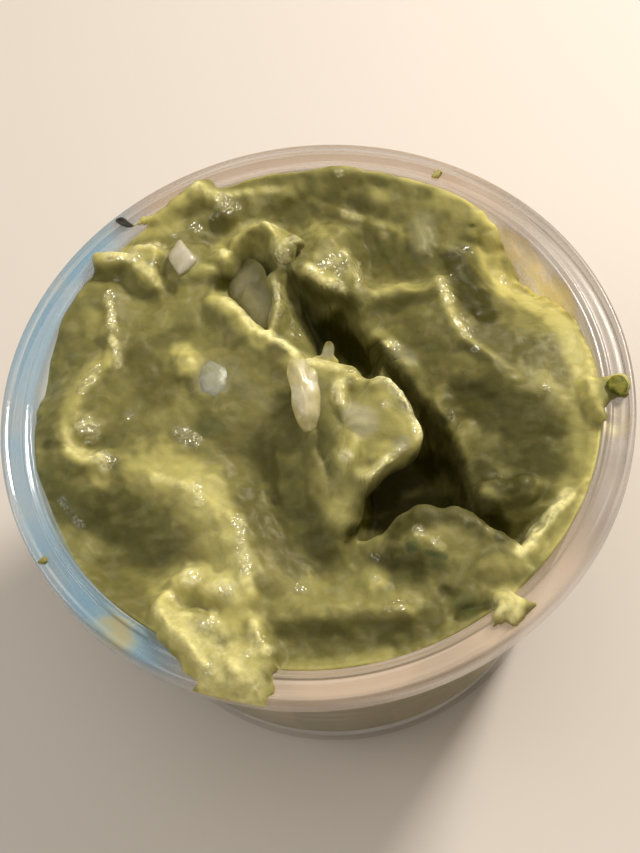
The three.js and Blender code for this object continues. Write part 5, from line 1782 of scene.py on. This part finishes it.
    def rough_disc(self) -> bpy.types.Object:
        """A closed disc: the top surface on a grid, straight sides and a flat underside.

        The grid is a square of cells carried onto the disc: a cell on the square ring at u lies
        on the circle of radius u, at the angle that its place along the ring gives.

        Returns:
            The disc.
        """
        n = self.cells
        a = np.linspace(-1, 1, n + 1)
        u, v = np.meshgrid(a, a, indexing="ij")
        wide = np.abs(u) > np.abs(v)
        main = np.where(wide, u, v)
        other = np.where(wide, v, u)
        safe = np.where(main == 0, 1, main)
        turn = math.pi / 4 * other / safe
        angle = np.where(wide, turn, math.pi / 2 - turn)
        x = self.reach * main * np.cos(angle)
        y = self.reach * main * np.sin(angle)
        z, lean_x, lean_y = self.top(x, y)
        points = np.stack([x + lean_x, y + lean_y, z], axis=-1).reshape(-1, 3)
        index = np.arange((n + 1) ** 2).reshape(n + 1, n + 1)
        faces = grid_faces(n + 1, n + 1, wrap=False)[:, ::-1].tolist()
        border = np.concatenate([index[:-1, 0], index[-1, :-1], index[:0:-1, -1], index[0, :0:-1]])
        foot = points[border] * [1, 1, 0] - [0, 0, self.cut_depth]
        first = len(points)
        count = len(border)
        below = first + np.arange(count)
        points = np.vstack([points, foot, [[0, 0, -self.cut_depth]]])
        after = np.roll(border, -1)
        below_after = np.roll(below, -1)
        tip = np.full(count, first + count)
        faces += np.column_stack([after, border, below, below_after]).tolist()
        faces += np.column_stack([tip, below_after, below]).tolist()
        return new_mesh("guacamole_mash", points, faces)

    def freedom(self, points: np.ndarray) -> np.ndarray:
        """How freely each vertex may move: not at all at the wall or low down in the cup.

        Args:
            points: one row for each vertex.

        Returns:
            Numbers from 0 to 1.
        """
        radius = np.hypot(points[:, 0], points[:, 1])
        to_wall = self.cup.inner(points[:, 2]) - radius
        on_rim = smooth_step((points[:, 2] - 0.1) / 0.5)
        free = np.maximum(smooth_step(to_wall / self.wall_margin), on_rim)
        return free * smooth_step((points[:, 2] - self.still_below) / 4)

    def roughen(self, thing: bpy.types.Object) -> None:
        """Softens the joints, raises the mash's lumps and keeps what the material needs, painted
        shade, highlight and glow among it.

        Each vertex moves along its normal by broad noise, lumps of two sizes and, where it is
        wet, a fine grain. Near the wall it stays, so that the mash still meets the cup.

        Args:
            thing: the mash.
        """
        surface = Surface(thing)
        free = self.freedom(surface.points)
        surface.points = surface.relaxed(self.softening, self.pull * free)
        surface.write()
        points, normals = surface.points, surface.normals()
        wet = painted(points, WET_STROKES)
        height = (0.24 * NOISE.rough(points, 4.6, 3) + 0.16 * NOISE.lumps(points, 2.9)
                  + 0.06 * NOISE.lumps(points + 31, 1.4) + 0.05 * NOISE.smooth(points, 0.9))
        height += wet * (0.08 * NOISE.lumps(points + 63, 0.9) + 0.05 * NOISE.smooth(points, 0.6))
        surface.points = points + normals * (free * height)[:, None]
        surface.write()
        flat = surface.relaxed(self.flattening, np.full(len(points), self.pull))
        bulge = np.einsum("ij,ij->i", surface.points - flat, surface.normals())
        crest = smooth_step((bulge - self.slight) / self.marked)
        dent = smooth_step((-bulge - self.slight) / self.marked)
        # Partly painted highlight: crests are made paler, and more so under the strokes.
        cream_and_painted_highlight = painted(surface.points, CREAM_AND_HIGHLIGHT_STROKES) * (0.45 + 0.55 * crest)
        surface.store("cream_and_painted_highlight", np.clip(0.06 * crest + cream_and_painted_highlight, 0, 1))
        # Partly painted glow: crests turn golden, and more so under the strokes.
        yellow_and_painted_glow = painted(surface.points, YELLOW_AND_GLOW_STROKES)
        surface.store("yellow_and_painted_glow", np.clip(0.1 * crest + yellow_and_painted_glow * (0.8 + 0.2 * crest), 0, 1))
        # Painted shade: dents are darkened, and the listed strokes darken further.
        surface.store("painted_shade", np.maximum(0.3 * dent, painted(surface.points, PAINTED_SHADE_STROKES)))
        surface.store("pale", painted(surface.points, PALE_STROKES))
        surface.store("leafy", painted(surface.points, LEAFY_STROKES))
        surface.store("wet", np.clip(wet + 0.15 * crest, 0, 1))

    def build(self) -> bpy.types.Object:
        """Makes the mash: disc and lobes joined, trimmed to the cup's room, roughened, dressed.

        Returns:
            The mash.
        """
        mash = self.rough_disc()
        for name, lobe in LOBES.items():
            combine(mash, new_mesh(name, *lobe.mesh()), Join.ADD)
        room = turned(self.cup.room(self.headroom, self.into_wall), self.room_segments)
        combine(mash, new_mesh("room", *room), Join.KEEP_WITHIN)
        self.roughen(mash)
        mash.data.shade_smooth()
        mash.data.materials.clear()
        mash.data.materials.append(MashFinish().build())
        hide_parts("guacamole")
        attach(mash, BODY)
        return mash


# ------------------------------------------------------------------ pieces set into it

PIECES = {
    "onion_strip_centre": Lobe(
        ((-2.5, 1.8, 4.3), (-1.9, 2.9, 4.7), (-0.8, 3.1, 4.8), (0.6, 2.6, 4.4), (1.2, 0.6, 4.0),
         (0.9, -2.4, 3.4), (0.3, -4.6, 2.9), (-0.9, -5.4, 2.8), (-2.0, -4.7, 3.0),
         (-2.5, -2.9, 3.5), (-2.4, -0.4, 4.0)),
        centre=(-0.9, -1.0, 4.5), rise=0.5, drop=2.2, boxiness=3.2, rough=0.18,
        forms=(
            Ridge(((-1.5, 2.6, 5.3), (-1.0, 0.8, 5.5), (-1.0, -1.4, 5.2), (-0.9, -3.4, 4.5)),
                  0.7, 0.9, 0.7),
            Lump((0.2, 1.0, 5.2), 0.7, 1.1, 0.6),
        )),
    "onion_slice_hollow": Lobe(
        ((-8.4, 19.9, -3.0), (-6.8, 21.8, -2.3), (-4.6, 21.8, -0.6), (-3.0, 18.7, 0.7),
         (-2.8, 14.7, 0.9), (-3.2, 11.4, 0.4), (-5.0, 11.4, -0.6), (-7.0, 14.6, -1.8),
         (-8.4, 17.4, -2.8)),
        centre=(-5.2, 16.6, -0.85), rise=0.45, drop=3.0, boxiness=2.2, rough=0.3),
    "onion_dice_back": Lobe(
        ((-14.4, 22.8, 1.2), (-13.5, 24.0, 1.25), (-12.7, 24.8, 1.25), (-12.0, 23.5, 1.15),
         (-11.1, 21.8, 1.0), (-12.1, 20.7, 1.05), (-13.4, 20.0, 1.1), (-14.0, 21.3, 1.15)),
        centre=(-12.8, 22.4, 1.2), rise=0.4, drop=2.0, boxiness=4.5, rough=0.14),
    "onion_dice_left": Lobe(
        ((-13.6, 7.8, -0.2), (-11.6, 8.9, -0.1), (-9.6, 7.8, -0.2), (-8.8, 5.7, -0.2),
         (-9.2, 3.1, -0.4), (-10.9, 1.5, -0.5), (-12.8, 2.3, -0.4), (-13.5, 4.8, -0.3)),
        centre=(-11.3, 5.2, 0.4), rise=0.78, drop=1.8, boxiness=1.7, rough=0.12),
    "herb_leaf_rim": Lobe(
        ((33.3, -4.7, 0.75), (33.9, -4.1, 0.9), (34.4, -3.9, 0.95), (35.3, -4.1, 0.9),
         (35.7, -5.0, 0.75), (35.2, -6.2, 0.7), (34.5, -6.4, 0.8), (33.7, -5.6, 0.85)),
        centre=(34.5, -5.1, 0.9), rise=0.14, drop=0.45, boxiness=6.0, rough=0.12),
    "dark_speck_rim": Lobe(
        ((-20.3, 30.1, 0.3), (-19.4, 30.3, 0.3), (-18.6, 29.4, 0.3), (-18.1, 28.7, 0.3),
         (-18.8, 28.6, 0.3), (-19.8, 29.3, 0.3)),
        centre=(-19.3, 29.5, 0.3), rise=0.3, drop=0.5, boxiness=2.0, rough=0.15),
}


ONION_FINISHES = {
    "onion_strip_centre": OnionFinish(
        flesh=(0.64, 0.57, 0.38), stain=(0.54, 0.46, 0.22), margin=(0.42, 0.36, 0.12), smeared=0.8,
        gloss=0.35),
    "onion_slice_hollow": OnionFinish(
        flesh=(0.22, 0.195, 0.095), stain=(0.195, 0.175, 0.068), margin=(0.165, 0.15, 0.048),
        smeared=0.95, gloss=0.2),
    "onion_dice_back": OnionFinish(
        flesh=(0.50, 0.45, 0.36), stain=(0.44, 0.39, 0.27), margin=(0.33, 0.30, 0.14), smeared=0.5,
        gloss=0.3),
    "onion_dice_left": OnionFinish(
        flesh=(0.35, 0.35, 0.27), stain=(0.29, 0.28, 0.17), margin=(0.20, 0.185, 0.07),
        smeared=1.0, gloss=0.05),
}


class Topping(Enum):
    """The kinds of piece that lie in the mash."""

    ONION = "onion"
    HERB = "herb"
    SPECK = "speck"

    @classmethod
    def of(cls, node: str) -> "Topping":
        """The kind that a node's name begins with."""
        return {"onion": cls.ONION, "herb": cls.HERB, "dark": cls.SPECK}[node.split("_")[0]]

    def material(self, node: str) -> bpy.types.Material:
        """The finish of this kind of piece.

        Args:
            node: the piece's node.

        Returns:
            The material.
        """
        makers = {Topping.ONION: lambda: ONION_FINISHES[node].build(node + "_flesh"),
                  Topping.HERB: HerbFinish().build, Topping.SPECK: SpeckFinish().build}
        return makers[self]()


@dataclass
class Toppings:
    """The onion pieces, the herb leaf and the speck."""

    rings: int = 14
    sides: int = 64

    def build(self) -> list[bpy.types.Object]:
        """Makes each piece in place of its node.

        Returns:
            The pieces.
        """
        made = []
        for node, lobe in PIECES.items():
            piece = new_mesh(node + "_piece", *lobe.mesh(self.rings, self.sides))
            out = np.r_[np.repeat(Lobe.spread(self.rings), self.sides), 0.0, 0.0]
            Surface(piece).store("margin", smooth_step((out - 0.45) / 0.5))
            kind = Topping.of(node)
            piece.data.materials.append(kind.material(node))
            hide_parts(node)
            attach(piece, BODY)
            made.append(piece)
        return made


# ------------------------------------------------------------------ studio

@dataclass(frozen=True)
class Lamp:
    """A square soft light that looks at the rim's centre, in millimetres from it."""

    name: str
    place: Point
    size: float
    watts: float
    colour: Point

    def build(self) -> None:
        """Adds the light."""
        data = bpy.data.lights.new(self.name, "AREA")
        data.size = self.size * MM
        data.energy = self.watts
        data.color = self.colour
        lamp = bpy.data.objects.new(self.name, data)
        bpy.context.scene.collection.objects.link(lamp)
        lamp.location = to_frame(np.array(self.place, float))
        lamp.rotation_euler = (-Vector(self.place)).to_track_quat("-Z", "Y").to_euler()


@dataclass
class Studio:
    """Camera, lights, sky and floor."""

    elevation: float = math.radians(60.94)
    roll: float = math.radians(9.846)
    distance: float = 240.0
    aim: Point = (0.147, -3.278, 0.0)
    focal_pixels: float = 2082.7
    picture_height: float = 853.0
    sensor: float = 36.0
    nearest: float = 5.0
    farthest: float = 20000.0
    floor_half: float = 2000.0
    sky: float = 0.30
    sky_colour: Point = (1.0, 0.94, 0.83, 1.0)
    lamps: tuple = (
        Lamp("key", (200, 170, 205), 70, 1.15, (1.0, 0.95, 0.86)),
        Lamp("fill", (-300, 40, 200), 160, 0.24, (1.0, 0.98, 0.94)),
        Lamp("top", (-40, -70, 320), 240, 0.28, (1.0, 0.98, 0.94)),
    )

    def camera(self) -> None:
        """Looks down at the cup from the front, a little turned."""
        ahead = np.array([0.0, math.cos(self.elevation), -math.sin(self.elevation)])
        level = np.array([1.0, 0.0, 0.0])
        over = np.cross(level, ahead)
        c, s = math.cos(self.roll), math.sin(self.roll)
        right, up = c * level - s * over, s * level + c * over
        place = to_frame(np.array(self.aim) - ahead * self.distance)
        data = bpy.data.cameras.new("camera")
        data.sensor_fit = "AUTO"
        data.sensor_width = self.sensor
        data.lens = self.focal_pixels / self.picture_height * self.sensor
        data.clip_start = self.nearest * MM
        data.clip_end = self.farthest * MM
        camera = bpy.data.objects.new("camera", data)
        bpy.context.scene.collection.objects.link(camera)
        columns = np.column_stack([right, up, -ahead, place])
        camera.matrix_world = Matrix([*columns.tolist(), [0, 0, 0, 1]])
        bpy.context.scene.camera = camera

    def build(self) -> None:
        """Adds the camera, the lights, the sky and the floor."""
        self.camera()
        for lamp in self.lamps:
            lamp.build()
        world = bpy.data.worlds.new("sky")
        world.use_nodes = True
        background = world.node_tree.nodes["Background"]
        background.inputs["Strength"].default_value = self.sky
        background.inputs["Color"].default_value = self.sky_colour
        bpy.context.scene.world = world
        bpy.context.scene.view_settings.view_transform = "Standard"
        corners = self.floor_half * np.array([(-1, -1, 0), (1, -1, 0), (1, 1, 0), (-1, 1, 0)])
        corners[:, 2] = -RIM_HEIGHT / MM
        floor = new_mesh("floor", corners, [(0, 1, 2, 3)])
        floor.data.materials.append(FloorFinish().build())


def write_sizes() -> None:
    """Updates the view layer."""
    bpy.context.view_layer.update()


def main() -> None:
    """Builds the studio and every piece of the part."""
    logging.basicConfig(level=logging.INFO, format="%(name)s: %(message)s")
    Studio().build()
    cup = Cup()
    for piece in [cup.build(), Guacamole(cup).build(), *Toppings().build()]:
        LOG.info("%s: %d faces", piece.name, len(piece.data.polygons))
    write_sizes()


if __name__ == "__main__":
    main()
